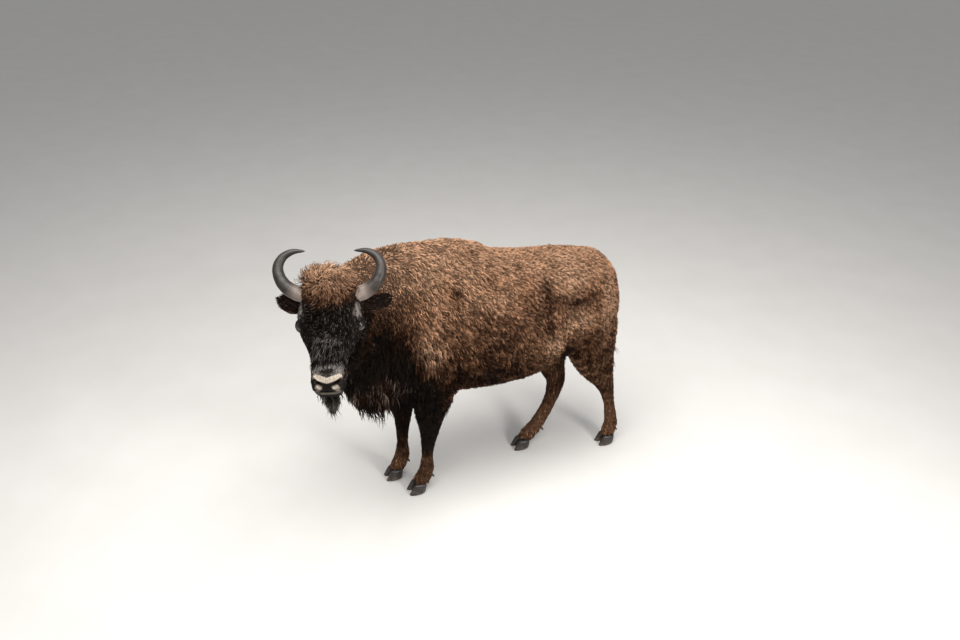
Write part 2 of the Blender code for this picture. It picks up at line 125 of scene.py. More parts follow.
def ripple(points, size, seed):
    """Smooth noise about 0: twice the mean of nine sine waves."""
    ways, starts = waves(size, seed)
    return np.sin(points @ ways.T + starts).mean(axis=1) * 2


def swirl(points, size, seed):
    """The slope of the same noise, which gathers locks into clumps about its crests."""
    ways, starts = waves(size, seed)
    return (np.cos(points @ ways.T + starts) @ ways) * size / math.tau / 3


def segment_distance(points, start, end):
    """How far each point is from the straight line between start and end, and how far along it lies."""
    start, end = np.asarray(start, float), np.asarray(end, float)
    run = end - start
    along = np.clip(((points - start) @ run) / (run @ run), 0, 1)
    return np.linalg.norm(points - start - along[:, None] * run, axis=1), along


def folded(local):
    """Points of the head's frame with the right half laid over the left: x without its sign."""
    return np.column_stack([np.abs(local[:, 0]), local[:, 1:]])


def circle(count):
    """The angles of `count` even steps round a full turn."""
    return np.arange(count) / count * math.tau


def splined(rows, count):
    """Rows of numbers, read at `count` even steps along a Catmull-Rom spline through them."""
    rows = np.asarray(rows, float)
    padded = np.vstack([2 * rows[0] - rows[1], rows, 2 * rows[-1] - rows[-2]])
    at = np.linspace(0, len(rows) - 1, count)
    low = np.minimum(at.astype(int), len(rows) - 2)
    t = (at - low)[:, None]
    a, b, c, d = (padded[low + i] for i in range(4))
    return 0.5 * (2 * b + (c - a) * t + (2 * a - 5 * b + 4 * c - d) * t**2 + (3 * b - a - 3 * c + d) * t**3)


def merged(parts):
    """Pairs of points and faces as one pair: each part's faces count on from the points before it."""
    starts = np.cumsum([0] + [len(points) for points, _ in parts])
    return (np.vstack([points for points, _ in parts]),
            np.vstack([faces + start for (_, faces), start in zip(parts, starts)]))


def tube_faces(count, around):
    """Triangles between `count` rings of `around` points, with a fan on each end."""
    i, j = np.meshgrid(np.arange(count - 1), np.arange(around), indexing="ij")
    k = (j + 1) % around
    corners = (i * around + j, i * around + k, (i + 1) * around + k, (i + 1) * around + j)
    a, b, c, d = (corner.ravel() for corner in corners)
    j = np.arange(around)
    k = (j + 1) % around
    first, last = np.full((2, around), [[count * around], [count * around + 1]])
    top = (count - 1) * around
    return np.vstack([np.stack(three, axis=1) for three in (
        (a, b, c), (a, c, d), (first, k, j), (last, top + j, top + k))])


def tube_points(rings):
    """The rings' points, and the middle of each end ring."""
    return np.vstack([rings.reshape(-1, 3), rings[0].mean(0), rings[-1].mean(0)])


def sphere_rings(turn, rise):
    """Points of a ball of radius 1 at a turn about Z and an angle down from its top."""
    return np.stack([np.cos(turn) * np.sin(rise), np.sin(turn) * np.sin(rise), np.cos(rise)], axis=2)


def normals_of(points, faces):
    """Normals at the points: the sum of the cross products of their triangles' sides, at length 1."""
    a, b, c = (points[faces[:, k]] for k in range(3))
    cross = np.cross(b - a, c - a)
    total = np.stack([
        sum(np.bincount(faces[:, corner], cross[:, k], len(points)) for corner in range(3))
        for k in range(3)], axis=1)
    return unit(total)


# ---- meshes in and out ----


def read(items, key, kind, width):
    """One row of `width` values for each vertex, edge or triangle of a mesh."""
    values = np.empty(len(items) * width, kind)
    items.foreach_get(key, values)
    return values.reshape(-1, width)


def points_of(mesh):
    """The mesh's points, one to a row."""
    return read(mesh.vertices, "co", float, 3)


def edges_of(mesh):
    """The two ends of each edge."""
    return read(mesh.edges, "vertices", np.int32, 2)


def triangles_of(mesh):
    """The three corners of each triangle."""
    mesh.calc_loop_triangles()
    return read(mesh.loop_triangles, "vertices", np.int32, 3)


def arrays_of(node):
    """A node's points and triangles."""
    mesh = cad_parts[node].data
    return points_of(mesh), triangles_of(mesh)


def mesh_of(name, points, faces):
    """A smooth mesh object from an array of points and an array of faces of one size."""
    mesh = bpy.data.meshes.new(name)
    faces = np.asarray(faces, np.int32)
    mesh.vertices.add(len(points))
    mesh.vertices.foreach_set("co", np.asarray(points, np.float32).ravel())
    mesh.loops.add(faces.size)
    mesh.loops.foreach_set("vertex_index", faces.ravel())
    mesh.polygons.add(len(faces))
    mesh.polygons.foreach_set("loop_start", np.arange(len(faces), dtype=np.int32) * faces.shape[1])
    mesh.polygons.foreach_set("use_smooth", np.ones(len(faces), bool))
    mesh.update(calc_edges=True)
    made = bpy.data.objects.new(name, mesh)
    bpy.context.scene.collection.objects.link(made)
    return made


def attribute(obj, name, kind, values):
    """Stores an array on the points of a mesh: FLOAT_VECTOR or FLOAT_COLOR."""
    layer = obj.data.attributes.new(name, kind, "POINT")
    key = "color" if kind == "FLOAT_COLOR" else "vector"
    layer.data.foreach_set(key, np.asarray(values, np.float32).ravel())


def outward(obj):
    """Merges what touches and turns every face outwards."""
    work = bmesh.new()
    work.from_mesh(obj.data)
    bmesh.ops.remove_doubles(work, verts=work.verts, dist=1e-6)
    bmesh.ops.recalc_face_normals(work, faces=work.faces)
    if work.calc_volume(signed=True) < 0:
        bmesh.ops.reverse_faces(work, faces=work.faces)
    work.to_mesh(obj.data)
    work.free()
    return obj


def refined(mesh, wanted):
    """Halves the edges whose two ends are wanted, and cuts faces of more than four corners up."""
    chosen = np.flatnonzero(wanted[edges_of(mesh)].all(axis=1))
    work = bmesh.new()
    work.from_mesh(mesh)
    work.edges.ensure_lookup_table()
    bmesh.ops.subdivide_edges(work, edges=[work.edges[i] for i in chosen], cuts=1, use_grid_fill=True)
    bmesh.ops.triangulate(work, faces=[face for face in work.faces if len(face.verts) > 4])
    work.to_mesh(mesh)
    work.free()


def evened(points, edges, rounds, share=1.0):
    """Taubin smoothing: each point moves half-way to the mean of its neighbours, then as far back out."""
    degree = np.bincount(edges.ravel(), minlength=len(points))[:, None]
    one, other = edges.T
    for step in EVENING_STEPS * rounds:
        total = np.stack([
            np.bincount(one, points[other, k], len(points)) + np.bincount(other, points[one, k], len(points))
            for k in range(3)], axis=1)
        points = points + step * share * (total / np.maximum(degree, 1) - points)
    return points


# ---- fields over the body: how much a place belongs to each region, from 0 to 1 ----

NOSE_TIP = from_head(np.array([0.0, -0.33, -0.02]))
POLL = from_head(np.array([0.0, 0.12, -0.01]))
JAW_TIP = from_head(np.array([0.0, -0.27, -0.07]))
JAW_ROOT = from_head(np.array([0.0, -0.03, -0.12]))
NAPE = np.array([MIDLINE + 0.07, NECK_END + 0.12, TRUNK_HEIGHT + 0.26])

# in the folded head's frame: the two ends of the nostril's groove
NOSTRIL_LINE = ((0.034, -0.309, 0.026), (0.064, -0.277, 0.032))


def head_share(points):
    """1 near the skull's or the jaw's middle line, fading over 7 to 8 cm, and 0 behind the poll."""
    skull, _ = segment_distance(points, NOSE_TIP, POLL)
    jaw, _ = segment_distance(points, JAW_TIP, JAW_ROOT)
    near = np.maximum(1 - ease(skull, 0.17, 0.25), 1 - ease(jaw, 0.10, 0.17))
    return near * (1 - ease(to_head(points)[:, 1], 0.15, 0.24))


def brow_share(local):
    """1 on the thinly haired, wrinkled skin between horn and eye: a bell, and a fading line beside it."""
    half = folded(local)
    inner = bump(half, [0.102, 0.036, 0.084], [0.036, 0.032, 0.036])
    outer, _ = segment_distance(half, [0.130, 0.080, 0.086], [0.134, 0.026, 0.060])
    return np.clip(0.75 * (1 - ease(outer, 0.0, 0.040)) + 0.90 * inner, 0, 1)


def crown_share(points):
    """1 on the woolly forehead between and behind the horns: within reach of a line down its middle."""
    local = to_head(points)
    away, along = segment_distance(local, [0, 0.185, 0.12], [0, -0.030, 0.075])
    reach = 0.125 - 0.030 * along
    near = 1 - ease(away / reach, 0.72, 1.05)
    woolly = near * (local[:, 2] > 0.02) * (1 - ease(local[:, 1], 0.20, 0.26))
    return woolly * (1 - 0.7 * brow_share(local))


def neck_share(points):
    """1 between the head and the shoulders, above the belly's line."""
    fore = 1 - ease(points[:, 1], NECK_END + 0.16, NECK_END + 0.42)
    return fore * (1 - head_share(points)) * ease(points[:, 2], BELLY - 0.02, BELLY + 0.15)


def leg_share(points):
    """1 below the knee and hock, 0 above the elbow and thigh."""
    return 1 - ease(points[:, 2], BELLY - 0.16, BELLY + 0.12)


def tail_share(points):
    """1 along the tail: behind the rump and within the width and height of the tail's node."""
    low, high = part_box("tail")
    beside = np.maximum(low.x - points[:, 0], points[:, 0] - high.x)
    behind = ease(points[:, 1], RUMP_END - 0.005, RUMP_END + 0.02)
    return behind * (beside < 0.01) * (points[:, 2] > low.z - 0.02)


def mane_share(points):
    """1 on the throat and brisket, where the long hair hangs: a bell about the top of the mane's node."""
    x, y, _ = middle("throat_mane")
    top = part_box("throat_mane")[1].z
    return bump(points, [x, y + 0.03, top - 0.08], [0.17, 0.23, 0.19]) * (1 - head_share(points))


def beard_share(points):
    """1 under the chin, where the beard hangs: a bell below the top of the beard's node."""
    x, y, _ = middle("beard")
    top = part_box("beard")[1].z
    return bump(points, [x, y, top - 0.05], [0.085, 0.085, 0.055]) * (points[:, 2] < top - 0.004)


def ear_distance(local):
    """How far each point of the head's frame is from the middle line of the nearer ear."""
    return segment_distance(folded(local), EAR[1][:3], EAR[-1][:3])[0]


def ear_share(local):
    """1 on the ears, fading over 12 mm."""
    return 1 - ease(ear_distance(local), 0.052, 0.064)


def eye_distance(local):
    """How far each point of the head's frame is from the nearer eye's centre."""
    return np.linalg.norm(folded(local) - EYE_PLACE, axis=1)


def thin_share(local):
    """1 where the skin shows between the hairs, which there get less of the painted shade towards the root.
    """
    muzzle = ease(-local[:, 1], 0.19, 0.24)
    return np.maximum(brow_share(local), muzzle) * (np.linalg.norm(local, axis=1) < 0.4)


def mouth_height(back):
    """The height of the mouth's line at a place along the muzzle: it falls from the lips to the corner."""
    return 0.001 - 0.062 * ease(back, -0.33, -0.185)


def bare_share(local):
    """The naked places: the eyes with their lids, the nose's leather, the mouth's line, the horns' roots."""
    half = folded(local)
    eyes = 1 - ease(eye_distance(local), 0.0265, 0.033)
    nose = 1 - ease(np.linalg.norm((half - [0.030, -0.305, 0.026]) / [1.3, 1, 1], axis=1), 0.026, 0.034)
    mouth = bell(local[:, 2] - mouth_height(local[:, 1]), 0.005) * ease(-local[:, 1], 0.17, 0.20)
    horns = 1 - ease(np.linalg.norm(half - [0.112, 0.137, 0.060], axis=1), 0.034, 0.042)
    return np.clip(eyes + nose + mouth + horns, 0, 1)


def height_share(points):
    """0 at the belly's line and 1 at the top of the hump."""
    return (points[:, 2] - BELLY) / (HUMP_TOP - BELLY)


def coat_depth(points):
    """How far the skin lies under the tips of the coat: least on the muzzle and most on the crown."""
    head, legs, tail = head_share(points), leg_share(points), tail_share(points)
    local = to_head(points)
    muzzle = ease(-local[:, 1], 0.20, 0.27)
    depth = 0.009 + 0.008 * neck_share(points)
    depth = depth * (1 - legs) + 0.006 * legs
    cheek = 0.004 + 0.008 * ease(-local[:, 2], 0.03, 0.10) * (1 - muzzle)
    face = cheek * (1 - muzzle) + 0.0025 * muzzle
    depth = depth * (1 - head) + face * head
    depth = np.maximum(depth, 0.019 * crown_share(points))
    return depth * (1 - tail) + 0.009 * tail


# ---- the skin ----

VOXEL = 0.0118
# the smoothing's steps in and back out, and how often the flesh and the drawn-in skin are gone over
EVENING_STEPS = (0.55, -0.57)
FLESH_ROUNDS = 22
SKIN_ROUNDS = 4
# where the left eye looks, in the head's frame
LOOK = unit(np.array([0.74, -0.40, 0.54]))

# the share of its width, depth and height that a hanging node keeps below a share of its height
CORES = {"throat_mane": ((0.9, 0.9, 0.45), 0.36), "beard": ((0.55, 0.55, 0.5), 0.9)}

# fillings of the pits that the left horn and ear leave in the head's node: a place and a radius
FILLINGS = (((0.098, 0.128, 0.050), 0.042), ((0.108, 0.118, -0.036), 0.034))
FILLING_RINGS, FILLING_AROUND = 9, 16

# in the folded head's frame: the centre of each form of the face, its reach, and how far it stands out
FACE_FORMS = (
    ((0.125, 0.040, 0.066), (0.028, 0.045, 0.022), 0.007),
    ((0.130, -0.045, -0.022), (0.030, 0.050, 0.018), 0.004),
    ((0.136, 0.004, 0.034), (0.036, 0.040, 0.034), 0.003),
    ((0.108, -0.052, 0.036), (0.022, 0.030, 0.018), -0.005),
    ((0.110, 0.030, -0.090), (0.045, 0.070, 0.050), 0.007),
    ((0.085, -0.150, -0.030), (0.030, 0.050, 0.040), -0.006),
    ((0.060, -0.245, 0.018), (0.026, 0.036, 0.026), 0.004),
)
# how many radians the brow's folds turn in a metre along each axis of the head, and how high they stand
FOLD_TURNS = (260.0, 480.0, 300.0)
FOLD_HEIGHT = 0.0016
# the way into the left nostril, how deep it goes, and how far its rim stands out
INTO_NOSTRIL = unit(np.array([-0.25, 0.85, -0.45]))
NOSTRIL_DEPTH = 0.020
NOSTRIL_RIM = 0.0025

# y, z, the reach along the body and up it, and the height of each form of shoulder, hip and flank
BODY_FORMS = (
    (-0.33, 1.04, 0.10, 0.19, 0.016),
    (-0.13, 1.12, 0.045, 0.26, -0.016),
    (-0.19, 0.79, 0.07, 0.06, 0.014),
    (-0.13, 0.82, 0.03, 0.08, -0.012),
    (-0.50, 1.05, 0.06, 0.26, -0.012),
    (0.58, 1.28, 0.13, 0.07, 0.014),
    (0.40, 1.15, 0.05, 0.12, -0.022),
    (0.62, 1.155, 0.13, 0.035, -0.014),
    (0.62, 1.02, 0.12, 0.09, 0.012),
    (0.44, 0.90, 0.05, 0.07, 0.014),
    (0.12, 0.95, 0.24, 0.14, 0.012),
)


def core_of(node, keep, level):
    """A hanging node as the flesh under its hair: below a share of its height it is drawn up and in."""
    points, faces = arrays_of(node)
    low, high = points[:, 2].min(), points[:, 2].max()
    seat = points.mean(axis=0)
    seat[2] = low + (high - low) * level
    drawn = seat + (points - seat) * keep
    return np.where(points[:, 2:] < seat[2], drawn, points), faces


def ball(centre, radius):
    """A round filling at a place in the head's frame: rings of a ball, half a step off its poles."""
    rise = (np.arange(FILLING_RINGS) + 0.5) / FILLING_RINGS * math.pi
    turn, rise = np.meshgrid(circle(FILLING_AROUND), rise)
    points = centre + tube_points(sphere_rings(turn, rise)) * radius
    return from_head(points), tube_faces(FILLING_RINGS, FILLING_AROUND)


def fused_flesh():
    """The flesh nodes and the cores of mane and beard, merged and fused by a voxel remesh."""
    parts = [arrays_of(node) for node in TRUNK_NODES + LEG_NODES]
    parts += [core_of(node, keep, level) for node, (keep, level) in CORES.items()]
    for sign in SIDES.values():
        parts += [ball(np.array(place) * [sign, 1, 1], radius) for place, radius in FILLINGS]
    flesh = outward(mesh_of("flesh", *merged(parts)))
    remesh = flesh.modifiers.new("fuse", "REMESH")
    remesh.mode = "VOXEL"
    remesh.voxel_size = VOXEL
    graph = bpy.context.evaluated_depsgraph_get()
    mesh = bpy.data.meshes.new_from_object(flesh.evaluated_get(graph))
    bpy.data.objects.remove(flesh)
    return mesh


def muscled(points, normals):
    """Shoulder, hip and stifle stand out a little, and their hollows sink: a sum of soft mounds."""
    half = np.hstack([np.abs(points[:, :1] - MIDLINE), points[:, 1:]])
    lift = sum(rise * bump(half, [0.27, y, z], [0.16, deep, tall]) for y, z, deep, tall, rise in BODY_FORMS)
    return points + normals * (lift * (1 - head_share(points)))[:, None]


def lip_lift(local):
    """The lips stand out as bells on both sides of the mouth's line, which sinks, as the cleft above does."""
    above = local[:, 2] - mouth_height(local[:, 1])
    cleft = bell(local[:, 0], 0.004) * (above > 0) * (1 - ease(local[:, 2], 0.022, 0.036))
    lips = 0.0035 * bell(above - 0.013, 0.010) + 0.0025 * bell(above + 0.014, 0.011)
    return (lips - 0.008 * bell(above, 0.0040) - 0.003 * cleft) * ease(-local[:, 1], 0.175, 0.20)


def sculpted(points, normals):
    """Moves the skin of the face along its normals by its forms, folds and lips, and sinks the nostrils."""
    local = to_head(points)
    out = normals @ HEAD_AXES
    half = folded(local)
    folds = np.sin(half @ FOLD_TURNS + 2.5 * ripple(local, 0.05, 61))
    lift = sum(rise * bump(half, centre, reach) for centre, reach, rise in FACE_FORMS)
    lift += FOLD_HEIGHT * folds * brow_share(local) + lip_lift(local)
    pit, along = segment_distance(half, *NOSTRIL_LINE)
    wide = 0.0095 - 0.0035 * along
    hole = np.exp(-((pit / wide) ** 4))
    lift += NOSTRIL_RIM * bell(pit - wide * 1.55, 0.0045)
    inwards = INTO_NOSTRIL * np.column_stack([np.sign(local[:, 0]), np.ones((len(local), 2))])
    return from_head(seated_eyes(local + out * lift[:, None] + inwards * (NOSTRIL_DEPTH * hole)[:, None]))


def seated_eyes(local):
    """Under each eye and its lids the skin sinks below the ball: no higher than a dome inside it."""
    for sign in SIDES.values():
        look = LOOK * [sign, 1, 1]
        away = local - EYE_PLACE * [sign, 1, 1]
        height = away @ look
        across = np.linalg.norm(away - height[:, None] * look, axis=1)
        dome = np.sqrt(np.maximum((EYE_RADIUS * 1.02) ** 2 - across**2, 0)) - 0.004
        inside = 1 - ease(across, EYE_RADIUS * 0.80, EYE_RADIUS * 1.25)
        near = (height > -0.02) & (across < 0.05)
        drop = np.where(near, np.maximum(height - dome, 0) * inside, 0)
        local = local - look * drop[:, None]
    return local


def face_wanted(local):
    """The face and the jaw as far back as the horns, which get the first, coarser refinement."""
    return (np.linalg.norm(local, axis=1) < 0.36) & (local[:, 1] < 0.13)


def eyes_and_nose_wanted(local):
    """The skin round the eyes, and the muzzle's end, which get the second refinement."""
    nose = (local[:, 1] < -0.20) & (local[:, 2] > -0.09) & (np.linalg.norm(local, axis=1) < 0.38)
    return (eye_distance(local) < 0.055) | nose


def bare_body():
    """The body's surface: fused, evened, drawn in by the coat's depth, refined and sculpted on the face."""
    mesh = fused_flesh()
    points = evened(points_of(mesh), edges_of(mesh), FLESH_ROUNDS)
    normals = normals_of(points, triangles_of(mesh))
    points = points - normals * coat_depth(points)[:, None]
    points = muscled(evened(points, edges_of(mesh), SKIN_ROUNDS), normals)
    mesh.vertices.foreach_set("co", points.ravel())
    for wanted, rounds in ((face_wanted, 3), (eyes_and_nose_wanted, 2)):
        refined(mesh, wanted(to_head(points_of(mesh))))
        points = points_of(mesh)
        share = ease(-np.linalg.norm(to_head(points), axis=1), -0.42, -0.30)[:, None]
        points = evened(points, edges_of(mesh), rounds, share)
        mesh.vertices.foreach_set("co", points.ravel())
    points = sculpted(points, normals_of(points, triangles_of(mesh)))
    mesh.vertices.foreach_set("co", points.ravel())
    mesh.update()
    faces = triangles_of(mesh)
    bpy.data.meshes.remove(mesh)
    return points, faces


# ---- ears, eyes and lids ----

# in the head's frame: x, y, z, half height, half thickness, depth of the cup
EAR = (
    (0.105, 0.122, -0.040, 0.024, 0.015, 0.000),
    (0.145, 0.137, -0.055, 0.033, 0.011, 0.011),
    (0.179, 0.151, -0.066, 0.046, 0.008, 0.019),
    (0.214, 0.166, -0.077, 0.050, 0.006, 0.021),
    (0.247, 0.180, -0.084, 0.038, 0.005, 0.015),
    (0.272, 0.192, -0.088, 0.013, 0.004, 0.004),
)
EAR_RINGS, EAR_AROUND = 26, 40

LID_WIDTH = math.radians(60)
LID_HEIGHT = math.radians(41)
LID_AROUND = 96
ALMOND_POWER = 1.7
# how far each ring of a lid lies outside the opening's rim, and how high above it
LID_RINGS = ((0.0, 0.0008), (0.0014, 0.0022), (0.0036, 0.0026), (0.0056, 0.0014), (0.0072, 0.0018),
             (0.0105, 0.0004), (0.0150, -0.0050), (0.0200, -0.0125), (0.0260, -0.0220))
EYEBALL_RINGS, EYEBALL_AROUND = 30, 48


def ear_shape(sign):
    """A leaf-shaped cup: each ring is an ellipse, bowed back by the square of its cosine."""
    x, y, z, tall, thick, cup = splined(EAR, EAR_RINGS).T[:, :, None]
    turn = circle(EAR_AROUND)
    high = tall * np.cos(turn)
    deep = thick * np.sin(turn) + cup * (np.cos(turn) ** 2 - 0.5)
    rings = np.stack([sign * (x + 0.35 * deep), y + high, z + 0.94 * deep], axis=2)
    faces = tube_faces(EAR_RINGS, EAR_AROUND)
    return from_head(tube_points(rings)), faces if sign > 0 else faces[:, ::-1]


def eye_axes(sign):
    """Where an eye looks, its long way towards the nose, and its short way up."""
    look = LOOK * [sign, 1, 1]
    along = unit(np.array([0, -1, 0]) + look * look[1])
    return look, along, np.cross(look, along) * -sign


def lid_shape(sign):
    """Both lids as one rolled rim round an almond, a superellipse, which slopes off under the skin."""
    look, along, up = eye_axes(sign)
    turn = circle(LID_AROUND)
    height = np.where(np.sin(turn) > 0, LID_HEIGHT * 1.05, LID_HEIGHT * 0.92)
    wide, tall = np.abs(np.cos(turn) / LID_WIDTH), np.abs(np.sin(turn) / height)
    almond = (wide**ALMOND_POWER + tall**ALMOND_POWER) ** (-1 / ALMOND_POWER)
    away = np.cos(turn)[:, None] * along + np.sin(turn)[:, None] * up
    heavy = 1 + 0.5 * np.clip(np.sin(turn), 0, 1)
    inner = almond[:, None] * 0.93
    rings = [(EYE_RADIUS - 0.0006) * (away * np.sin(inner) + look * np.cos(inner))]
    for out, rise in LID_RINGS:
        across = EYE_RADIUS * np.sin(almond) + out
        high = EYE_RADIUS * np.cos(almond) + rise * np.where(rise > 0, heavy, 1)
        rings.append(away * across[:, None] + look * high[:, None])
    points = np.vstack(rings) + EYE_PLACE * [sign, 1, 1]
    faces = tube_faces(len(rings), LID_AROUND)
    faces = faces[(faces < len(points)).all(axis=1)]
    return from_head(points), faces if sign > 0 else faces[:, ::-1]


def eyeball(name, sign):
    """A ball with a cornea raised as a bell about its pole; its own directions are kept for the pupil."""
    look, along, up = eye_axes(sign)
    rise = (np.arange(EYEBALL_RINGS) + 0.3) / EYEBALL_RINGS * math.pi
    turn, rise = np.meshgrid(circle(EYEBALL_AROUND), rise)
    radius = EYE_RADIUS * (1 + 0.06 * bell(rise, 0.5))[..., None]
    points = tube_points(sphere_rings(turn, rise) * radius)
    placed = points @ np.stack([along, up, look]) + EYE_PLACE * [sign, 1, 1]
    made = outward(mesh_of(name, from_head(placed), tube_faces(EYEBALL_RINGS, EYEBALL_AROUND)))
    attribute(made, "gaze", "FLOAT_VECTOR", points / EYE_RADIUS)
    return made


# ---- horns and hooves ----

# in the head's frame: x, y, z, radius
HORN = (
    (0.086, 0.128, 0.050, 0.0350),
    (0.103, 0.135, 0.058, 0.0369),
    (0.156, 0.147, 0.071, 0.0364),
    (0.203, 0.169, 0.091, 0.0327),
    (0.233, 0.209, 0.112, 0.0285),
    (0.241, 0.256, 0.131, 0.0248),
    (0.218, 0.298, 0.147, 0.0200),
    (0.172, 0.321, 0.157, 0.0137),
    (0.113, 0.323, 0.158, 0.0040),
)
# a way that the horn never runs along, from which its rings are turned
HORN_FACING = np.array([0.0, -0.42, 0.9])
HORN_RINGS, HORN_AROUND = 90, 44
GROWTH_RINGS = 15

# the share of its width, depth and height that a dewclaw keeps
DEWCLAW_KEEP = (0.85, 0.62, 0.72)


def horn_shape(name, sign):
    """A cone along a spline, with sine growth rings and ridges, which fade towards the polished tip."""
    rows = splined(HORN, HORN_RINGS)
    centre = rows[:, :3] * [sign, 1, 1]
    along = np.linspace(0, 1, HORN_RINGS)
    turn = circle(HORN_AROUND)
    tangent = unit(np.gradient(centre, axis=0))
    across = unit(np.cross(tangent, HORN_FACING))
    over = np.cross(across, tangent)
    spaced = GROWTH_RINGS * along + 0.6 * np.sin(9 * along)
    grooves = 0.016 * np.sin(math.tau * spaced) * (1 - ease(along, 0.35, 0.75))
    ridge = 0.012 * np.sin(7 * turn + 1.3)[None, :] * (1 - ease(along, 0.5, 0.9))[:, None]
    tip = np.sqrt(np.clip((1 - along) / 0.03, 0, 1))[:, None]
    radius = rows[:, 3:] * (1 + grooves[:, None] + ridge) * tip
    ring = across[:, None] * np.cos(turn)[None, :, None] + over[:, None] * np.sin(turn)[None, :, None]
    points = tube_points(centre[:, None] + ring * radius[..., None])
    made = mesh_of(name, from_head(points), tube_faces(HORN_RINGS, HORN_AROUND))
    growth = np.zeros((len(points), 3))
    growth[:-2, 0] = np.repeat(along, HORN_AROUND)
    growth[:-2, 1] = np.tile(turn / math.tau, HORN_RINGS)
    growth[-1, 0] = 1
    attribute(made, "growth", "FLOAT_VECTOR", growth)
    return made


def hooves():
    """The claws, and the dewclaws drawn in towards their upper front edge, rounded by subdivision."""
    names = [f"{leg}_{claw}_{side}" for leg in LEGS for claw in ("claw", "dewclaw") for side in SIDES]
    parts = []
    for name in names:
        points, faces = arrays_of(name)
        if "dewclaw" in name:
            low, high = points.min(axis=0), points.max(axis=0)
            seat = np.array([(low[0] + high[0]) / 2, low[1], high[2]])
            points = seat + (points - seat) * DEWCLAW_KEEP
        parts.append((points, faces))
    made = outward(mesh_of("hooves", *merged(parts)))
    rounding = made.modifiers.new("rounded", "SUBSURF")
    rounding.levels = rounding.render_levels = 2
    return names, made


# ---- markings ----

# y, z, the reach along the body and up it, and how much paler (or darker, below 0) the coat is painted there:
# painted highlights on bulges, painted shade in hollows and folds
PAINTED_BODY_LIGHT = (
    (-0.27, 1.02, 0.07, 0.14, 0.30),
    (-0.10, 1.30, 0.04, 0.07, -0.22),
    (-0.13, 0.95, 0.02, 0.14, -0.12),
    (0.08, 1.25, 0.12, 0.06, 0.20),
    (0.05, 1.05, 0.22, 0.06, -0.10),
    (0.40, 1.22, 0.05, 0.07, -0.30),
    (0.39, 1.06, 0.045, 0.08, -0.26),
    (0.62, 1.155, 0.13, 0.03, -0.35),
    (0.58, 1.27, 0.12, 0.06, 0.32),
    (0.58, 1.05, 0.11, 0.05, 0.34),
    (0.80, 1.10, 0.05, 0.20, 0.30),
    (0.42, 0.94, 0.06, 0.08, 0.34),
    (0.53, 0.85, 0.05, 0.05, -0.50),
)

# in the folded head's frame: the ends of each pale line of nose and lips, where it starts and ends to fade,
# and its strength
PALE_AND_SHEEN_LINES = (
    # the V over the nose: pale hair, with a painted reflection of the wet nose's sheen
    ((0.0, -0.291, 0.042), (0.058, -0.267, 0.036), 0.0105, 0.0150, 1.0),
    ((0.037, -0.316, 0.024), (0.044, -0.313, 0.004), 0.010, 0.018, 0.80),
    ((0.0, -0.334, -0.016), (0.052, -0.318, -0.016), 0.006, 0.013, 0.42),
)
FACE_UP = np.array([0, 0.566, 0.824])


def pale_and_sheen_share(local):
    """The white band that dips in a V over the nose, pale hair with a painted reflection of the wet nose's
    sheen, and the lips' pale patches: the strongest line.
    """
    half = folded(local)
    white = np.maximum.reduce([
        strength * (1 - ease(segment_distance(half, start, end)[0], fade, gone))
        for start, end, fade, gone, strength in PALE_AND_SHEEN_LINES])
    return white * (0.86 + 0.10 * ripple(local, 0.014, 41) + 0.10 * ripple(local, 0.03, 42))


def face_tones(local):
    """Dark, tan and grey shares on the head: tan up the crown, grey on the nose's bridge and the brow."""
    wide = np.abs(local[:, 0])
    nose, back = -local[:, 1], local[:, 1]
    up = local @ FACE_UP
    rounded = up - 0.9 * np.clip(wide - 0.055, 0, 1)
    dark = 1.0 - 0.82 * ease(rounded, 0.11, 0.28) - 0.10 * crown_share(from_head(local))
    dark += 0.08 * ripple(local, 0.05, 21) + 0.1 * (1 - ease(back, -0.01, 0.16))
    tan = 0.12 * ease(up, 0.17, 0.27) + 0.7 * ease(up, 0.235, 0.285) * ease(back, 0.13, 0.18)
    fan = 0.030 + 0.45 * np.clip(nose - 0.03, 0, 0.10)
    bridge = (1 - ease(wide, fan * 0.8, fan * 1.5)) * ease(nose, 0.02, 0.09) * ease(local[:, 2], 0.0, 0.035)
    bridge = bridge * (1 - 0.6 * bump(local, [0, -0.175, 0.06], [0.09, 0.022, 0.05]))
    snout = (1 - ease(wide, 0.06, 0.09)) * ease(nose, 0.195, 0.225) * (1 - ease(nose, 0.255, 0.275))
    brow = brow_share(local) * (0.85 + 0.5 * ripple(local, 0.022, 43))
    grey = 0.31 * bridge + 0.35 * snout * ease(local[:, 2], -0.02, 0.03) + 0.62 * brow
    grey = np.maximum(grey, 0.19 * (1 - ease(up, 0.15, 0.24)))
    grey *= 1 - 0.9 * bump(local, [0, -0.246, 0.055], [0.036, 0.015, 0.03])
    ears = ear_share(local)
    edge = ease(ear_distance(local), 0.030, 0.050) * ease(wide, 0.16, 0.19)
    dark = (dark - 0.3 * brow) * (1 - ears) + (0.88 - 0.42 * edge) * ears
    return dark, tan * (1 - ears), grey * (1 - 0.4 * ears)


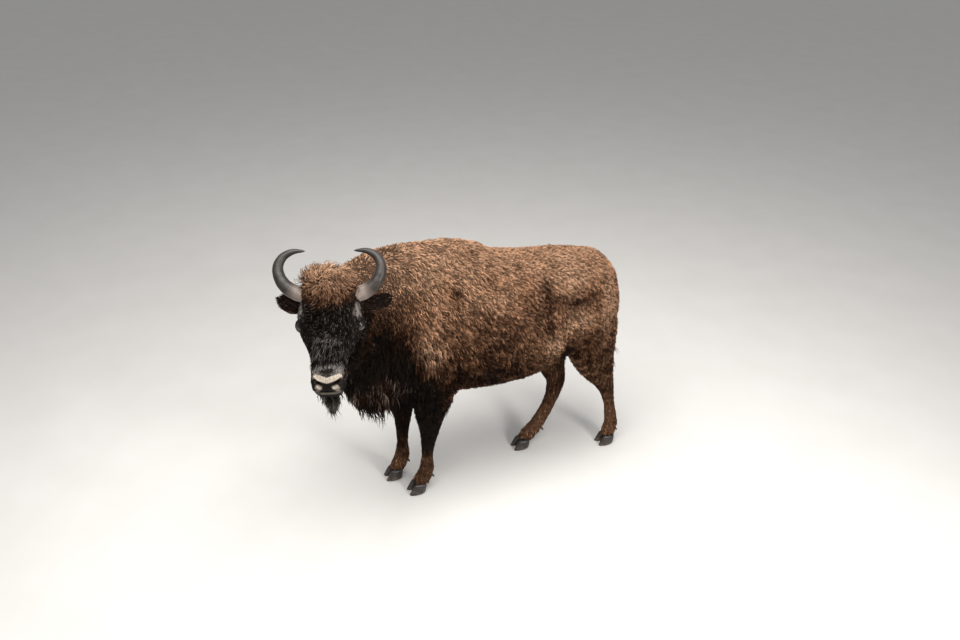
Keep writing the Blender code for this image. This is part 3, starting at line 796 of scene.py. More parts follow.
def markings(points):
    """Dark, tan, grey and pale shares of the coat's colour at each place, each from 0 to 1, with painted
    light and shade in them.
    """
    local = to_head(points)
    height = height_share(points)
    head = np.maximum(head_share(points), ear_share(local))
    legs, mane = leg_share(points), mane_share(points)
    y, z = points[:, 1], points[:, 2]
    pastern = 1 - ease(z, 0.08, 0.42)
    throat = (1 - ease(y + 0.35 * (z - 1.1), -0.52, -0.27)) * (1 - 0.85 * ease(z, 1.16, 1.46))
    chest = (1 - ease(z, 0.74, 1.0)) * (1 - ease(y, -0.42, -0.20))
    rear = ease(y, 0.1, 0.5)
    # darker towards the belly: partly the coat's own darker lower parts, partly painted shade
    low_dark_and_shade = np.clip((HUMP_TOP - 0.20 - z) / 0.46, 0, 1.15)
    crest = (1 - ease(y, -0.42, -0.08)) * ease(z, 1.20, 1.36)
    dark = 0.08 + (0.60 - 0.20 * rear) * low_dark_and_shade + 0.20 * crest + 0.5 * throat + 0.32 * chest
    dark = dark * (1 - legs) + (0.90 - 0.34 * rear) * (1 - 0.55 * pastern) * legs + 0.2 * mane
    hanging = mane * (1 - ease(z, 0.80, 1.04))
    dark = np.minimum(dark, 1.1) * (1 - 0.48 * hanging)
    # paler and tanner over the top of the back: partly the coat's own tone, partly painted light from above
    dark += 0.08 * ripple(points, 0.42, 5) + 0.10 * ripple(points, 0.13, 6) - 0.10 * ease(height, 0.62, 1.0)
    tan = 0.34 * ease(height, 0.60, 0.95) + 0.10 * ripple(points, 0.2, 7)
    # painted highlights on the bulges of shoulder, hip, thigh and rump, and painted shade in the hollows and
    # folds between them
    for at_y, at_z, deep, tall, paler in PAINTED_BODY_LIGHT:
        painted_spot = 1.3 * bump(points[:, 1:], [at_y, at_z], [deep, tall])
        tan += painted_spot * max(paler, 0)
        dark -= painted_spot * paler * (0.9 if paler > 0 else 1)
    tan *= 1 - 0.8 * legs
    face_dark, face_tan, face_grey = face_tones(local)
    shares = np.stack([
        dark * (1 - head) + face_dark * head,
        tan * (1 - head) + face_tan * head,
        0.46 * hanging * (1 - head) + face_grey * head + 0.22 * beard_share(points),
        pale_and_sheen_share(local) * head,
    ], axis=1)
    return np.clip(shares, 0, 1)


# ---- the way the coat lies ----

CROWN = from_head(np.array([0.0, 0.150, 0.175]))
# the size, the force and the seed of each set of clumps
SWIRLS = ((0.042, 0.50, 31), (0.16, 0.40, 32))


def towards_tip(points, node):
    """From each point to the lowest end of a hanging node, and never less than half downwards."""
    corners, _ = arrays_of(node)
    tip = corners[corners[:, 2].argmin()]
    return unit(unit(tip - points) + DOWN)


def blended(base, share, way):
    """From the base way to another by its share."""
    return base * (1 - share) + way * share


def lie(points, normals):
    """The direction of the coat: back and down the trunk, down the legs and the mane, out from the crown.

    The ways are blended region by region, stirred by the swirls, and laid flat on the skin.
    """
    head, neck, legs, mane, tail, chin, crown = (share(points)[:, None] for share in (
        head_share, neck_share, leg_share, mane_share, tail_share, beard_share, crown_share))
    local = to_head(points)
    ears = ear_share(local)[:, None]
    cheek = (ease(-local[:, 2], 0.0, 0.06) * ease(-local[:, 1], -0.05, 0.1))[:, None]
    way = blended(BACK * 0.9 + DOWN * 0.9, neck, unit(NAPE - POLL) * 0.55 + DOWN)
    way = blended(way, legs, DOWN + BACK * 0.18)
    way = blended(way, mane, towards_tip(points, "throat_mane") * 1.3)
    way = blended(way, tail, DOWN)
    face = unit(points - CROWN) * (1 - 0.6 * cheek) + (HEAD_AXES @ np.array([0.0, 0.75, -0.2])) * cheek
    way = blended(way, head, face)
    outwards = np.column_stack([np.sign(local[:, 0]) * 0.9, np.full((len(local), 2), (0.38, -0.26))])
    way = blended(way, ears, outwards @ HEAD_AXES.T)
    way = blended(way, chin, towards_tip(points, "beard") * 0.6 + DOWN * 1.6)
    woolly = crown * ease(local[:, 1:2], -0.06, 0.02)
    calm = 1 - 0.85 * np.maximum.reduce([head * (1 - woolly), legs, tail, mane, ears])
    for size, force, seed in SWIRLS:
        way = way + swirl(points, size, seed) * force * calm
    return unit(way - normals * (way * normals).sum(axis=1, keepdims=True))


# ---- the coat ----

# the side of the little square that each lock takes in the flat map, and the deepest that a lock is rooted
LOCK_PATCH = 0.003
ROOT_DEPTH = 0.003
STYLE = ("length", "width", "lift", "curl", "droop")


def strew(points, faces, share, count, seed):
    """Roots spread over the faces by area times share: their places and normals."""
    draw = np.random.default_rng(seed)
    a, b, c = (points[faces[:, k]] for k in range(3))
    area = np.linalg.norm(np.cross(b - a, c - a), axis=1) / 2
    total = np.cumsum(area * np.clip(share((a + b + c) / 3), 0, 1))
    picked = np.searchsorted(total, (np.arange(count) + draw.random(count)) / count * total[-1])
    picked = np.minimum(picked, len(faces) - 1)
    u, v = draw.random(count), draw.random(count)
    flip = u + v > 1
    u, v = np.where(flip, 1 - u, u)[:, None], np.where(flip, 1 - v, v)[:, None]
    normals = normals_of(points, faces)[faces[picked]]
    return (a[picked] * (1 - u - v) + b[picked] * u + c[picked] * v,
            unit(normals[:, 0] * (1 - u - v) + normals[:, 1] * u + normals[:, 2] * v))


def lock_faces(count, rings):
    """Triangles of `count` locks: one at the root, walls between three-pointed rings, three at the tip."""
    one = [(0, 1, 2)]
    for i in range(rings - 1):
        for k in range(3):
            a, b = 3 * i + k, 3 * i + (k + 1) % 3
            one += [(a, a + 3, b + 3), (a, b + 3, b)]
    last = 3 * (rings - 1)
    one += [(last + k, 3 * rings, last + (k + 1) % 3) for k in range(3)]
    return (np.array(one)[None] + (np.arange(count) * (3 * rings + 1))[:, None, None]).reshape(-1, 3)


def lock_points(roots, normals, ways, style, rings, seed):
    """Each lock is a path that rises at the root and falls over, swings sideways as a sine, and narrows."""
    draw = np.random.default_rng(seed)
    length, width, lift, curl, droop = (style[key][:, None] for key in STYLE)
    side = np.cross(ways, normals)
    phase = draw.random((len(roots), 1)) * math.tau
    centre = roots - normals * np.minimum(ROOT_DEPTH, length * 0.07)
    places = []
    shares = []
    for i in range(rings + 1):
        t = i / rings
        swing = curl * length * 0.12 * (np.sin(phase + 3.4 * t) - np.sin(phase)) * min(1, 2 * t)
        curve = curl * length * 0.08 * (np.cos(phase + 3.4 * t) - np.cos(phase)) * min(1, 2 * t)
        bent = centre + side * swing + normals * curve
        if i < rings:
            wide = width / 2 * (0.65 + 0.35 * min(1, 3 * t)) * (1 - t**2.2)
            places += [bent - side * wide, bent + side * wide, bent + normals * wide * 0.8]
            shares += [(0.0, t), (1.0, t), (0.5, t)]
        else:
            places += [bent]
            shares += [(0.5, 1.0)]
        half_way = t + 0.5 / rings
        angle = lift * (1 - 1.3 * half_way)
        step = ways * np.cos(angle) + normals * np.sin(angle) + DOWN * droop * half_way
        centre = centre + unit(step) * length / rings
    return np.stack(places, axis=1), np.array(shares)


def unwrap(points, kind):
    """A flat map, from 0 to 1, of the skin's own shape: the turn about a region's axis, the way along it."""
    x, y, z = points.T
    if kind == "head":
        local = to_head(points)
        turn, along = np.arctan2(local[:, 0], local[:, 2] + 0.03), local[:, 1]
    elif kind == "legs":
        fore, left = y < TRUNK_MIDDLE, x > MIDLINE
        which = np.select([fore & left, fore & ~left, ~fore & left], [0, 1, 2], 3)
        axes = np.array([middle(f"{leg}_lower") for leg in LEGS])[which]
        turn, along = np.arctan2(x - axes[:, 0], y - axes[:, 1]) + which * math.tau, z
    elif kind == "hanging":
        centre = (points.max(axis=0) + points.min(axis=0)) / 2
        turn, along = np.arctan2(x - centre[0], y - centre[1]), z
    else:
        turn, along = np.arctan2(x - MIDLINE, z - TRUNK_HEIGHT), y
    flat = np.stack([turn, along], axis=1)
    low, high = flat.min(axis=0), flat.max(axis=0)
    return (flat - low) / (high - low) * (1 - LOCK_PATCH)


def coat_piece(name, roots, normals, ways, style, rings, kind, seed):
    """One joined mesh of locks, with its markings, its strand values and the map OFBake."""
    draw = np.random.default_rng(seed)
    places, shares = lock_points(roots, normals, ways, style, rings, seed + 1)
    count, each = places.shape[:2]
    faces = lock_faces(count, rings)
    made = mesh_of(name, places.reshape(-1, 3), faces)
    attribute(made, "marking", "FLOAT_COLOR", np.repeat(markings(roots), each, axis=0))
    tuft = 0.5 + 0.60 * ripple(roots, 0.024, 51) + 0.30 * ripple(roots, 0.070, 52)
    clumped = 0.15 if kind == "head" else 0.62
    tone = np.clip((1 - clumped) * draw.random(count) + clumped * tuft, 0.04, 1)[:, None, None]
    strand = np.empty((count, each, 3))
    strand[..., :2] = shares
    strand[..., 2:] = tone
    # where the skin shows, the locks get less painted shade towards the root
    strand[..., 1] += (1 - strand[..., 1]) * 0.55 * thin_share(to_head(roots))[:, None]
    attribute(made, "strand", "FLOAT_VECTOR", strand)
    flat = unwrap(roots, kind)[:, None] + shares[None] * LOCK_PATCH
    layer = made.data.uv_layers.new(name="OFBake")
    layer.uv.foreach_set("vector", flat.reshape(-1, 2)[faces.ravel()].astype(np.float32).ravel())
    return made


def varied(values, spread, seed):
    """Each value times a random share within `spread` of 1."""
    draw = np.random.default_rng(seed)
    return values * (1 + spread * (2 * draw.random(len(values)) - 1))


def style_of(roots, sizes, seed):
    """The sizes of each lock about a pelt's own: longer and higher on the crests of the clumps."""
    crest = sum(ripple(roots, size, swirl_seed) for size, _, swirl_seed in SWIRLS) / 2
    length, width, lift, curl, droop = (np.broadcast_to(value, len(roots)) for value in sizes)
    return {
        "length": varied(length * (1 + 0.30 * crest), 0.28, seed),
        "width": varied(width, 0.35, seed + 1),
        "lift": varied(lift * (1 + 0.40 * crest), 0.40, seed + 2),
        "curl": varied(curl, 0.6, seed + 3),
        "droop": droop,
    }


# ---- where each pelt grows ----


def body_share(points):
    """Where the wool of trunk and neck grows: off head, legs and tail, and thinner on the mane."""
    head = ease(head_share(points), 0.5, 1.0)
    return 1 - np.maximum.reduce([head, leg_share(points), mane_share(points) * 0.6, tail_share(points)])


def neck_hair_share(points):
    """Where the longer hair of the neck and the front of the shoulders grows."""
    return body_share(points) * (1 - ease(points[:, 1], NECK_END + 0.10, NECK_END + 0.34))


def trunk_share(points):
    """Where the trunk's wool grows: what the neck's hair leaves."""
    return body_share(points) * (1 - neck_hair_share(points))


def face_share(points):
    """The short coat of the face, off the crown and the naked places, and short of the nose's end."""
    local = to_head(points)
    head = ease(head_share(points), 0.0, 0.5)
    return head * (1 - crown_share(points)) * (1 - bare_share(local)) * (local[:, 1] > -0.318)


def bridge_share(points):
    """The longer hair down the top of the nose, from between the eyes to above the nostrils."""
    wide, nose, rise = (to_head(points) * [1, -1, 1]).T
    along = ease(nose, 0.02, 0.05) * (1 - ease(nose, 0.17, 0.215))
    return (1 - ease(np.abs(wide), 0.055, 0.085)) * along * (rise > 0.02)


def lower_leg_share(points):
    """The legs down to the coronet of the hooves."""
    return leg_share(points) * (points[:, 2] > 0.055)


def mane_root_share(points):
    """Where the mane is rooted: well inside its bell."""
    return ease(mane_share(points), 0.12, 0.5)


def whole_share(points):
    """1 everywhere."""
    return np.ones(len(points))


# ---- how large its locks are: length, width, lift, curl and droop ----

BRIDGE_SIZES = (0.040, 0.0024, math.radians(20), 0.7, 0.10)
BEARD_SIZES = (0.088, 0.0038, math.radians(27), 0.4, 0.8)
EAR_SIZES = (0.018, 0.0036, math.radians(24), 0.6, 0.15)


def trunk_sizes(roots):
    """Short, crimped wool, longer at the shoulder."""
    shoulder = 1 - ease(roots[:, 1], NECK_END + 0.35, TRUNK_MIDDLE + 0.1)
    return 0.021 + 0.009 * shoulder, 0.0058, math.radians(33), 1.2, 0.12


def neck_sizes(roots):
    """Shorter round the ears and near the head, longest low on the neck."""
    away = np.minimum(*(np.linalg.norm(roots - middle(node), axis=1) for node in EAR_NODES))
    low = 1 - ease(height_share(roots), 0.25, 0.8)
    length = (0.024 + 0.006 * low) * (0.45 + 0.55 * ease(away, 0.10, 0.24))
    return length, 0.0058, math.radians(40), 1.8, 0.18


def face_sizes(roots):
    """Longer along the jaw, finest on the muzzle, and short and fine round the eyes and on the brow."""
    local = to_head(roots)
    muzzle = ease(-local[:, 1], 0.20, 0.27)
    jaw = ease(-local[:, 2], 0.03, 0.11)
    bald = np.maximum(1 - ease(eye_distance(local), 0.030, 0.075), brow_share(local))
    length = ((0.016 + 0.016 * jaw) * (1 - muzzle) + 0.006 * muzzle) * (1 - 0.6 * bald)
    width = (0.0038 - 0.0016 * muzzle) * (1 - 0.45 * bald)
    return length, width, math.radians(14) + math.radians(13) * ease(-local[:, 2], 0.07, 0.14), 0.5, 0.05


def forelock_sizes(roots):
    """Longest at the back of the crown, shortest where the forelock ends above the nose and by the brows."""
    local = to_head(roots)
    length = 0.019 + 0.012 * ease(local @ FACE_UP, 0.08, 0.20) + 0.016 * ease(local[:, 1], 0.12, 0.2)
    lift = math.radians(48) - math.radians(20) * ease(np.abs(local[:, 0]), 0.06, 0.10)
    return length, 0.0038, lift, 2.4, 0.15


def leg_sizes(roots):
    """Longer up the leg, and again in the fringe over the hooves."""
    z = roots[:, 2]
    length = 0.015 + 0.012 * ease(z, 0.2, 0.6) + 0.014 * (1 - ease(z, 0.11, 0.16))
    return length, 0.0046, math.radians(18), 0.4, 0.1


def mane_sizes(roots):
    """Short where the mane starts on throat and shoulders, long along its lower edge, longest behind."""
    low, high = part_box("throat_mane")
    edge = 1 - ease(roots[:, 2], low.z + 0.10, low.z + 0.30)
    behind = 0.035 * edge * ease(roots[:, 1], (low.y + high.y) / 2, high.y)
    return 0.075 + 0.095 * edge + behind, 0.0080 - 0.0025 * edge, math.radians(14), 0.5, 0.9


def tail_sizes(roots):
    """Short at the root of the tail, long in its tuft."""
    return 0.035 + 0.10 * (1 - ease(roots[:, 2], 0.55, 0.95)), 0.0060, math.radians(7), 0.4, 0.6


# each wool's pieces from front to back, how many locks, a lock's rings, where it grows, its sizes and seed
WOOL = (
    (("coat_shoulders", "coat_ribs", "coat_loins", "coat_rump"), 66000, 2, trunk_share, trunk_sizes, 200),
    (("coat_throat", "coat_neck"), 12000, 3, neck_hair_share, neck_sizes, 300),
)

# each pelt's name and slot, where it grows, how many locks, a lock's rings, its flat map, seed and sizes
PELTS = (
    ("coat_face", "face_coat", face_share, 15500, 2, "head", 100, face_sizes),
    ("coat_nose_bridge", "face_coat", bridge_share, 2200, 3, "head", 110, BRIDGE_SIZES),
    ("coat_forelock", "face_coat", crown_share, 9600, 3, "head", 120, forelock_sizes),
    ("coat_legs", "leg_coat", lower_leg_share, 10500, 2, "legs", 130, leg_sizes),
    ("coat_mane", "long_hair", mane_root_share, 3600, 5, "hanging", 140, mane_sizes),
    ("coat_beard", "long_hair", beard_share, 1400, 5, "hanging", 150, BEARD_SIZES),
    ("coat_tail", "long_hair", tail_share, 1200, 4, "hanging", 160, tail_sizes),
)
EAR_PELT = ("coat_ears", "face_coat", whole_share, 2600, 2, "head", 170, EAR_SIZES)


def wool(points, faces):
    """The wool of the trunk, then of the neck: strewn as a whole, and cut into pieces from front to back."""
    for pieces, count, rings, share, sizes, seed in WOOL:
        roots, normals = strew(points, faces, share, count, seed)
        cuts = np.array_split(np.argsort(roots[:, 1]), len(pieces))
        for name, chosen in zip(pieces, cuts):
            at, up = roots[chosen], normals[chosen]
            style = style_of(at, sizes(at), seed)
            yield coat_piece(name, at, up, lie(at, up), style, rings, "trunk", seed + 5), "body_coat"
            seed += 10


def pelt(points, faces, name, slot, share, count, rings, kind, seed, sizes):
    """One piece of coat: roots by a share of the body, and sizes that are fixed or go by the roots."""
    roots, normals = strew(points, faces, share, count, seed)
    style = style_of(roots, sizes(roots) if callable(sizes) else sizes, seed + 1)
    return coat_piece(name, roots, normals, lie(roots, normals), style, rings, kind, seed + 6), slot


def coat(points, faces, ears):
    """Every piece of the coat with the name of a slot."""
    yield from wool(points, faces)
    for row in PELTS:
        yield pelt(points, faces, *row)
    yield pelt(*ears, *EAR_PELT)


# ---- materials ----


def tone(red, green, blue):
    """A colour given as it looks on a screen, 0 to 255, as the light it reflects."""
    share = np.array([red, green, blue]) / 255
    return (*np.where(share <= 0.04045, share / 12.92, ((share + 0.055) / 1.055) ** 2.4), 1.0)


BROWN = tone(182, 132, 98)
RUST = tone(46, 20, 5)
DARK = tone(30, 24, 19)
TAN = tone(228, 187, 153)
GREY = tone(124, 116, 111)
# pale hair of nose, lips and lids, and the painted sheen of the wet nose
PALE_AND_SHEEN = tone(216, 200, 180)


class Tree:
    """A material's or a group's nodes, made one after another."""

    def __init__(self, graph):
        self.graph = graph

    def feed(self, node, inputs):
        """Each input of the node is linked to another's output, or set to a value of its own."""
        for key, value in inputs.items():
            if isinstance(value, bpy.types.NodeSocket):
                self.graph.links.new(value, node.inputs[key])
            else:
                node.inputs[key].default_value = value

    def add(self, kind, inputs=(), **settings):
        """A new node with its settings and inputs."""
        made = self.graph.nodes.new(kind)
        for key, value in settings.items():
            setattr(made, key, value)
        self.feed(made, dict(inputs))
        return made

    def place(self):
        """Where a point lies on the object."""
        return self.add("ShaderNodeTexCoord").outputs["Object"]

    def stored(self, name):
        """A vector stored on the points of the mesh."""
        return self.add("ShaderNodeAttribute", attribute_name=name).outputs["Vector"]

    def math(self, operation, a, b=0.5, c=0.5):
        """One number from up to three."""
        return self.add("ShaderNodeMath", {0: a, 1: b, 2: c}, operation=operation).outputs[0]

    def clamped(self, value):
        """The value, kept from 0 to 1."""
        return self.add("ShaderNodeClamp", {0: value}).outputs[0]

    def ramp(self, value, low, high):
        """0 at low, 1 at high, straight between."""
        return self.add("ShaderNodeMapRange", {0: value, 1: low, 2: high, 3: 0.0, 4: 1.0}).outputs[0]

    def split(self, vector):
        """The vector's three numbers."""
        return self.add("ShaderNodeSeparateXYZ", {0: vector}).outputs

    def joined(self, x=0.0, y=0.0, z=0.0):
        """Three numbers as a vector."""
        return self.add("ShaderNodeCombineXYZ", {0: x, 1: y, 2: z}).outputs[0]

    def scaled(self, vector, share):
        """The vector times a number."""
        return self.add("ShaderNodeVectorMath", {0: vector, 3: share}, operation="SCALE").outputs[0]

    def mix(self, share, a, b):
        """The first colour at 0 and the second at 1."""
        return self.add("ShaderNodeMix", {0: share, 6: a, 7: b}, data_type="RGBA").outputs[2]

    def noise(self, scale, detail, vector):
        """Smooth noise over a vector, from 0 to 1."""
        inputs = {"Scale": scale, "Detail": detail, "Vector": vector}
        return self.add("ShaderNodeTexNoise", inputs).outputs["Fac"]

    def relief(self, strength, depth, height):
        """The normal that a height leans over."""
        inputs = {"Strength": strength, "Distance": depth, "Height": height}
        return self.add("ShaderNodeBump", inputs).outputs["Normal"]


TONE_SOCKETS = (
    ("Marking", "INPUT", "NodeSocketColor"),
    ("Pale", "INPUT", "NodeSocketFloat"),
    ("Strand", "INPUT", "NodeSocketVector"),
    ("Colour", "OUTPUT", "NodeSocketColor"),
    ("Hairs", "OUTPUT", "NodeSocketFloat"),
)


def coat_tones():
    """The group that colours coat and skin, from their marking shares and a place on the strand.

    Brown or tan is darkened through rust to dark, then mixed with grey and pale, where the pale holds a
    painted sheen on the wet nose. Each lock's own number makes it lighter or darker, its root is darkened
    with painted shade, as if deep in the coat, and its tip is paler, the coat's own pale tips with a painted
    sheen. Fine hairs are noise drawn out along the strand.
    """
    made = bpy.data.node_groups.new("coat tones", "ShaderNodeTree")
    for label, way, kind in TONE_SOCKETS:
        made.interface.new_socket(label, in_out=way, socket_type=kind)
    tree = Tree(made)
    given = tree.add("NodeGroupInput").outputs
    across, along, seed = tree.split(given["Strand"])
    shares = tree.add("ShaderNodeSeparateColor", {0: given["Marking"]}).outputs
    patch = tree.ramp(tree.noise(9.0, 2.0, tree.place()), 0.3, 0.7)
    dark = tree.math("MULTIPLY_ADD", tree.math("SUBTRACT", seed, 0.5), -0.50, shares[0])
    dark = tree.clamped(tree.math("MULTIPLY_ADD", tree.math("SUBTRACT", patch, 0.5), 0.16, dark))
    dark = tree.math("MULTIPLY", dark, tree.math("SUBTRACT", 2.0, dark))
    # paler tips: the coat's own pale tips, with a painted sheen
    tips = tree.math("MULTIPLY", tree.math("POWER", along, 1.5), 0.30)
    tan = tree.clamped(tree.math("ADD", shares[1], tips))
    colour = tree.mix(tan, BROWN, TAN)
    colour = tree.mix(dark, colour, RUST)
    colour = tree.mix(tree.ramp(shares[0], 0.62, 0.98), colour, tree.mix(dark, colour, DARK))
    grey = tree.math("SUBTRACT", tree.math("MULTIPLY", shares[2], 1.6), tree.math("SUBTRACT", 1.0, seed))
    colour = tree.mix(tree.clamped(tree.math("MULTIPLY", grey, 2.0)), colour, GREY)
    # pale hair, and the painted sheen on the wet nose
    colour = tree.mix(given["Pale"], colour, PALE_AND_SHEEN)
    # painted shade: each lock darkens towards its root, as if deep in the coat; the lock's own number adds
    # random tone
    depth = tree.ramp(along, -0.14, 0.9)
    root_shade_and_tone = tree.math("MULTIPLY", depth, tree.math("MULTIPLY_ADD", seed, 1.45, 0.20))
    drawn_out = tree.joined(tree.math("MULTIPLY", across, 5.0), tree.math("MULTIPLY", along, 1.2),
                            tree.math("MULTIPLY", seed, 90.0))
    tree.feed(tree.add("NodeGroupOutput"), {
        "Colour": tree.scaled(colour, root_shade_and_tone),
        "Hairs": tree.noise(1.6, 3.0, drawn_out),
    })
    return made


def new_material(name):
    """A material, its tree and its shader."""
    made = bpy.data.materials.new(name)
    made.use_nodes = True
    return made, Tree(made.node_tree), made.node_tree.nodes["Principled BSDF"]


def toned(tree, tones):
    """The coat's tones at each place, and the strand values that they are worked out from."""
    marking = tree.add("ShaderNodeAttribute", attribute_name="marking").outputs
    strand = tree.stored("strand")
    inputs = {"Marking": marking["Color"], "Pale": marking["Alpha"], "Strand": strand}
    return tree.add("ShaderNodeGroup", inputs, node_tree=tones).outputs, strand


def coat_material(tones):
    """Wool and hair: the group's colour, fine hairs as bump, soft and dull."""
    made, tree, shader = new_material("wisent_coat")
    used, _ = toned(tree, tones)
    tree.feed(shader, {
        "Base Color": used["Colour"],
        "Roughness": 0.62,
        "Specular IOR Level": 0.02,
        "Normal": tree.relief(0.5, 0.0015, used["Hairs"]),
    })
    return made


def skin_material(tones):
    """Short hair and leather: the same colours, noise combed along the coat as bump, and a moist nose."""
    made, tree, shader = new_material("wisent_skin")
    used, strand = toned(tree, tones)
    bare = tree.split(strand)[0]
    place = tree.place()
    way = tree.stored("lie")
    run = tree.add("ShaderNodeVectorMath", {0: place, 1: way}, operation="DOT_PRODUCT").outputs["Value"]
    along = tree.scaled(way, tree.math("MULTIPLY", run, 0.85))
    combed = tree.add("ShaderNodeVectorMath", {0: place, 1: along}, operation="SUBTRACT").outputs[0]
    hair = tree.noise(420.0, 2.0, combed)
    pebble = tree.add("ShaderNodeTexVoronoi", {"Vector": place, "Scale": 330.0}).outputs["Distance"]
    grain = tree.mix(bare, hair, tree.math("MULTIPLY", pebble, 0.6))
    tree.feed(shader, {
        "Base Color": tree.mix(tree.math("MULTIPLY", hair, 0.45), used["Colour"], (0, 0, 0, 1)),
        "Roughness": tree.math("MULTIPLY_ADD", bare, -0.36, 0.72),
        "Specular IOR Level": 0.07,
        "Normal": tree.relief(0.6, 0.0012, grain),
    })
    return made


def horn_material():
    """Pale, pinkish horn at the base, grey along the curve, nearly black at the tip, streaked lengthwise."""
    made, tree, shader = new_material("wisent_horn")
    along, around, _ = tree.split(tree.stored("growth"))
    turn = tree.math("MULTIPLY", around, math.tau)
    level, high = tree.math("COSINE", turn), tree.math("SINE", turn)
    lengthwise = tree.joined(level, high, tree.math("MULTIPLY", along, 1.4))
    streak = tree.ramp(tree.noise(5.5, 4.0, lengthwise), 0.35, 0.68)
    blotch = tree.ramp(tree.noise(38.0, 3.0, tree.place()), 0.35, 0.7)
    colour = tree.mix(tree.ramp(along, 0.13, 0.36), tone(190, 170, 157), tone(34, 29, 25))
    colour = tree.mix(tree.math("MULTIPLY", streak, 0.35), colour, tone(48, 42, 37))
    colour = tree.mix(tree.math("MULTIPLY", blotch, 0.22), colour, tone(84, 74, 66))
    colour = tree.mix(tree.ramp(along, 0.72, 0.93), colour, tone(40, 36, 33))
    height = tree.math("MULTIPLY_ADD", streak, 0.5, tree.math("MULTIPLY", blotch, 0.3))
    tree.feed(shader, {
        "Base Color": colour,
        "Roughness": tree.math("MULTIPLY_ADD", streak, 0.2, 0.36),
        "Specular IOR Level": 0.3,
        "Normal": tree.relief(0.4, 0.0012, height),
    })
    return made


def hoof_material():
    """Dark grey-brown horn with rings of growth, and dried mud in patches low down."""
    made, tree, shader = new_material("wisent_hoof")
    place = tree.place()
    rise = tree.split(place)[2]
    rings = tree.noise(3.0, 3.0, tree.joined(z=tree.math("MULTIPLY", rise, 60.0)))
    patch = tree.ramp(tree.noise(45.0, 4.0, place), 0.4, 0.65)
    mud = tree.math("MULTIPLY", patch, tree.ramp(rise, 0.05, 0.0))
    colour = tree.mix(tree.ramp(rings, 0.35, 0.65), tone(28, 23, 20), tone(50, 43, 38))
    tree.feed(shader, {
        "Base Color": tree.mix(tree.math("MULTIPLY", mud, 0.6), colour, tone(116, 98, 82)),
        "Roughness": tree.math("MULTIPLY_ADD", mud, 0.3, 0.42),
        "Normal": tree.relief(0.5, 0.0015, rings),
    })
    return made


def eye_material():
    """A dark brown iris with a wide, level pupil, a superellipse, under a wet surface."""
    made, tree, shader = new_material("wisent_eye")
    level, high, _ = tree.split(tree.stored("gaze"))
    wide, tall = (tree.math("POWER", tree.math("ABSOLUTE", tree.math("MULTIPLY", value, share)), 2.5)
                  for value, share in ((level, 2.3), (high, 4.2)))
    pupil = tree.ramp(tree.math("ADD", wide, tall), 1.15, 0.85)
    level_squared, high_squared = tree.math("POWER", level, 2.0), tree.math("POWER", high, 2.0)
    reach = tree.math("SQRT", tree.math("ADD", level_squared, high_squared))
    colour = tree.mix(tree.ramp(reach, 0.2, 0.75), tone(30, 17, 11), tone(12, 8, 6))
    colour = tree.mix(pupil, colour, tone(6, 5, 6))
    tree.feed(shader, {
        "Base Color": tree.mix(tree.ramp(reach, 0.80, 0.86), colour, tone(16, 11, 9)),
        "Roughness": 0.05,
        "Specular IOR Level": 0.6,
    })
    return made


def floor_material():
    """Plain pale grey, clouded a little by smooth noise."""
    made, tree, shader = new_material("studio_floor")
    colour = tree.mix(tree.noise(3.0, 2.0, tree.place()), tone(198, 194, 188), tone(206, 202, 197))
    tree.feed(shader, {"Base Color": colour, "Roughness": 0.9})
    return made


# ---- putting it together ----

LID_DARK = 0.95
NODES_UNDER = {"coat_mane": ("throat_mane",), "coat_beard": ("beard",)}


def seated(piece, material, slot, *nodes):
    """Gives a piece its material and its body, and hides the nodes that it replaces; the slot is not used."""
    piece.data.materials.append(material)
    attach(piece, "root")
    if nodes:
        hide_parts(*nodes)


def lid_marks(points):
    """Dark lids: the brow's grey runs down on them, and a pale line, a bell, follows the lower lid."""
    local = to_head(points)
    half = folded(local) - EYE_PLACE
    _, along, up = eye_axes(1)
    lower = ease(half @ (along * 0.75 - up * 0.65), 0.007, 0.014)
    line = bell(np.linalg.norm(half, axis=1) - EYE_RADIUS - 0.0022, 0.0014) * lower
    dark = np.full(len(points), LID_DARK)
    return np.stack([dark, 0 * dark, 0.5 * brow_share(local), 0.5 * line], axis=1)


def skin_piece(points, faces, ears, material):
    """The body, ears and lids as one skin, with markings, the way of the coat, and how bare it is."""
    lids = merged([lid_shape(sign) for sign in SIDES.values()])
    whole, triangles = merged([(points, faces), ears, lids])
    on_lids = slice(-len(lids[0]), None)
    local = to_head(whole)
    head = head_share(whole)
    nostril = 1 - ease(segment_distance(folded(local), *NOSTRIL_LINE)[0], 0.006, 0.010)
    marks = markings(whole)
    marks[on_lids] = lid_marks(whole[on_lids])
    marks[:, 0] = np.maximum(marks[:, 0], nostril)
    marks[:, 2:] *= (1 - nostril)[:, None]
    bare = bare_share(local) * head
    bare[on_lids] = 1
    # the skin's place on the strand sets its painted shade: deepest under the body's wool, less on face and
    # legs
    along = 0.10 + 0.55 * head * (1 - crown_share(whole)) + 0.25 * leg_share(whole)
    strand = np.stack([bare, along, 0.42 + 0.25 * brow_share(local)], axis=1)
    made = mesh_of("skin", whole, triangles)
    attribute(made, "marking", "FLOAT_COLOR", marks)
    attribute(made, "strand", "FLOAT_VECTOR", strand)
    attribute(made, "lie", "FLOAT_VECTOR", lie(whole, normals_of(whole, triangles)))
    seated(made, material, "body_coat", *TRUNK_NODES, *LEG_NODES, *EAR_NODES)


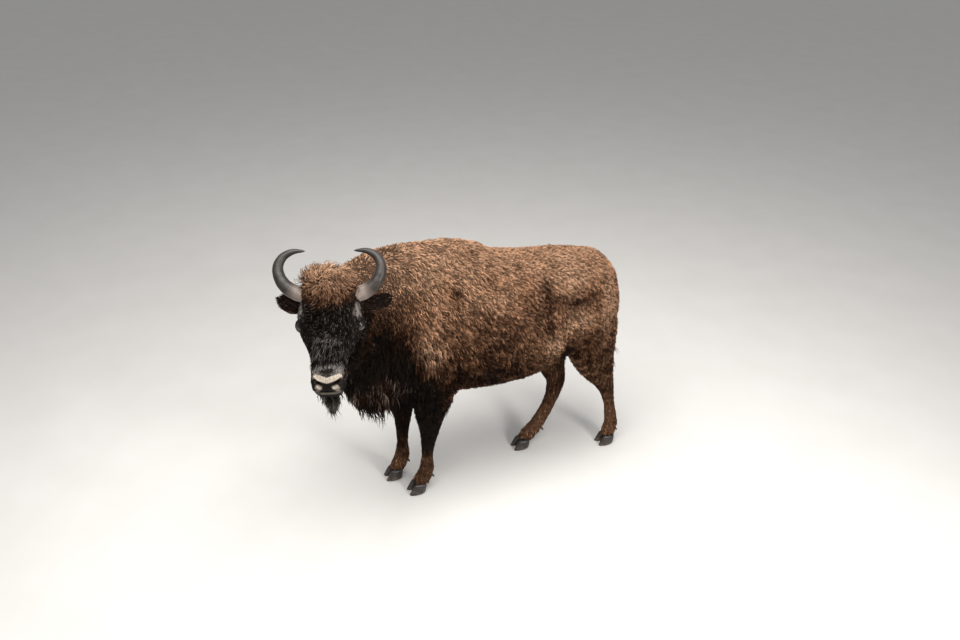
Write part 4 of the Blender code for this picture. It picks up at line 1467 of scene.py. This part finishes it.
def build_wisent():
    """The skin, the coat over it, and the horns, eyes and hooves."""
    tones = coat_tones()
    points, faces = bare_body()
    ears = merged([ear_shape(sign) for sign in SIDES.values()])
    skin_piece(points, faces, ears, skin_material(tones))
    hair, horn, eye = coat_material(tones), horn_material(), eye_material()
    for piece, slot in coat(points, faces, ears):
        seated(piece, hair, slot, *NODES_UNDER.get(piece.name, ()))
    for side, sign in SIDES.items():
        seated(horn_shape(f"wisent_horn_{side}", sign), horn, "horn", f"horn_{side}")
        seated(eyeball(f"wisent_eye_{side}", sign), eye, "eye", f"eye_{side}")
    names, feet = hooves()
    seated(feet, hoof_material(), "hoof", *names)


# ---- the studio ----

FLOOR_REACH = 30
# each lamp's name, place, aim, width and power in watts
LAMPS = (
    ("overhead", (1.0, -0.6, 5.0), (0, 0, 0.8), 4.0, 440),
    ("side", (3.3, 1.5, 2.6), (0.2, -0.4, 1.1), 0.9, 100),
)
SKY_COLOUR = (0.93, 0.96, 1.0, 1)
SKY_STRENGTH = 0.46

CAMERA_PLACE = (3.9224, -1.5561, 3.4081)
CAMERA_PITCH = math.radians(28.5)
CAMERA_TURN = math.radians(67.8)
CAMERA_LENS = 33.75
CAMERA_SENSOR = 36


def studio():
    """A plain pale floor, one broad light overhead, a small one at the side and an even, overcast sky."""
    corners = [(x * FLOOR_REACH, y * FLOOR_REACH, 0) for x, y in ((-1, -1), (1, -1), (1, 1), (-1, 1))]
    floor = mesh_of("floor", corners, [(0, 1, 2), (0, 2, 3)])
    floor.data.materials.append(floor_material())
    for name, place, aim, size, power in LAMPS:
        light = bpy.data.lights.new(name, "AREA")
        light.size = size
        light.energy = power
        lamp = bpy.data.objects.new(name, light)
        lamp.location = place
        lamp.rotation_euler = (Vector(place) - Vector(aim)).to_track_quat("Z", "Y").to_euler()
        bpy.context.scene.collection.objects.link(lamp)
    world = bpy.data.worlds.new("overcast")
    world.use_nodes = True
    sky = world.node_tree.nodes["Background"].inputs
    sky["Color"].default_value = SKY_COLOUR
    sky["Strength"].default_value = SKY_STRENGTH
    bpy.context.scene.world = world


def camera():
    """Looks down on the animal from its left front."""
    made = bpy.data.objects.new("camera", bpy.data.cameras.new("camera"))
    made.data.sensor_width = CAMERA_SENSOR
    made.data.lens = CAMERA_LENS
    made.location = CAMERA_PLACE
    made.rotation_euler = (math.pi / 2 - CAMERA_PITCH, 0, CAMERA_TURN)
    bpy.context.scene.collection.objects.link(made)
    bpy.context.scene.camera = made


build_wisent()
studio()
camera()
bpy.context.scene.view_settings.view_transform = "Standard"
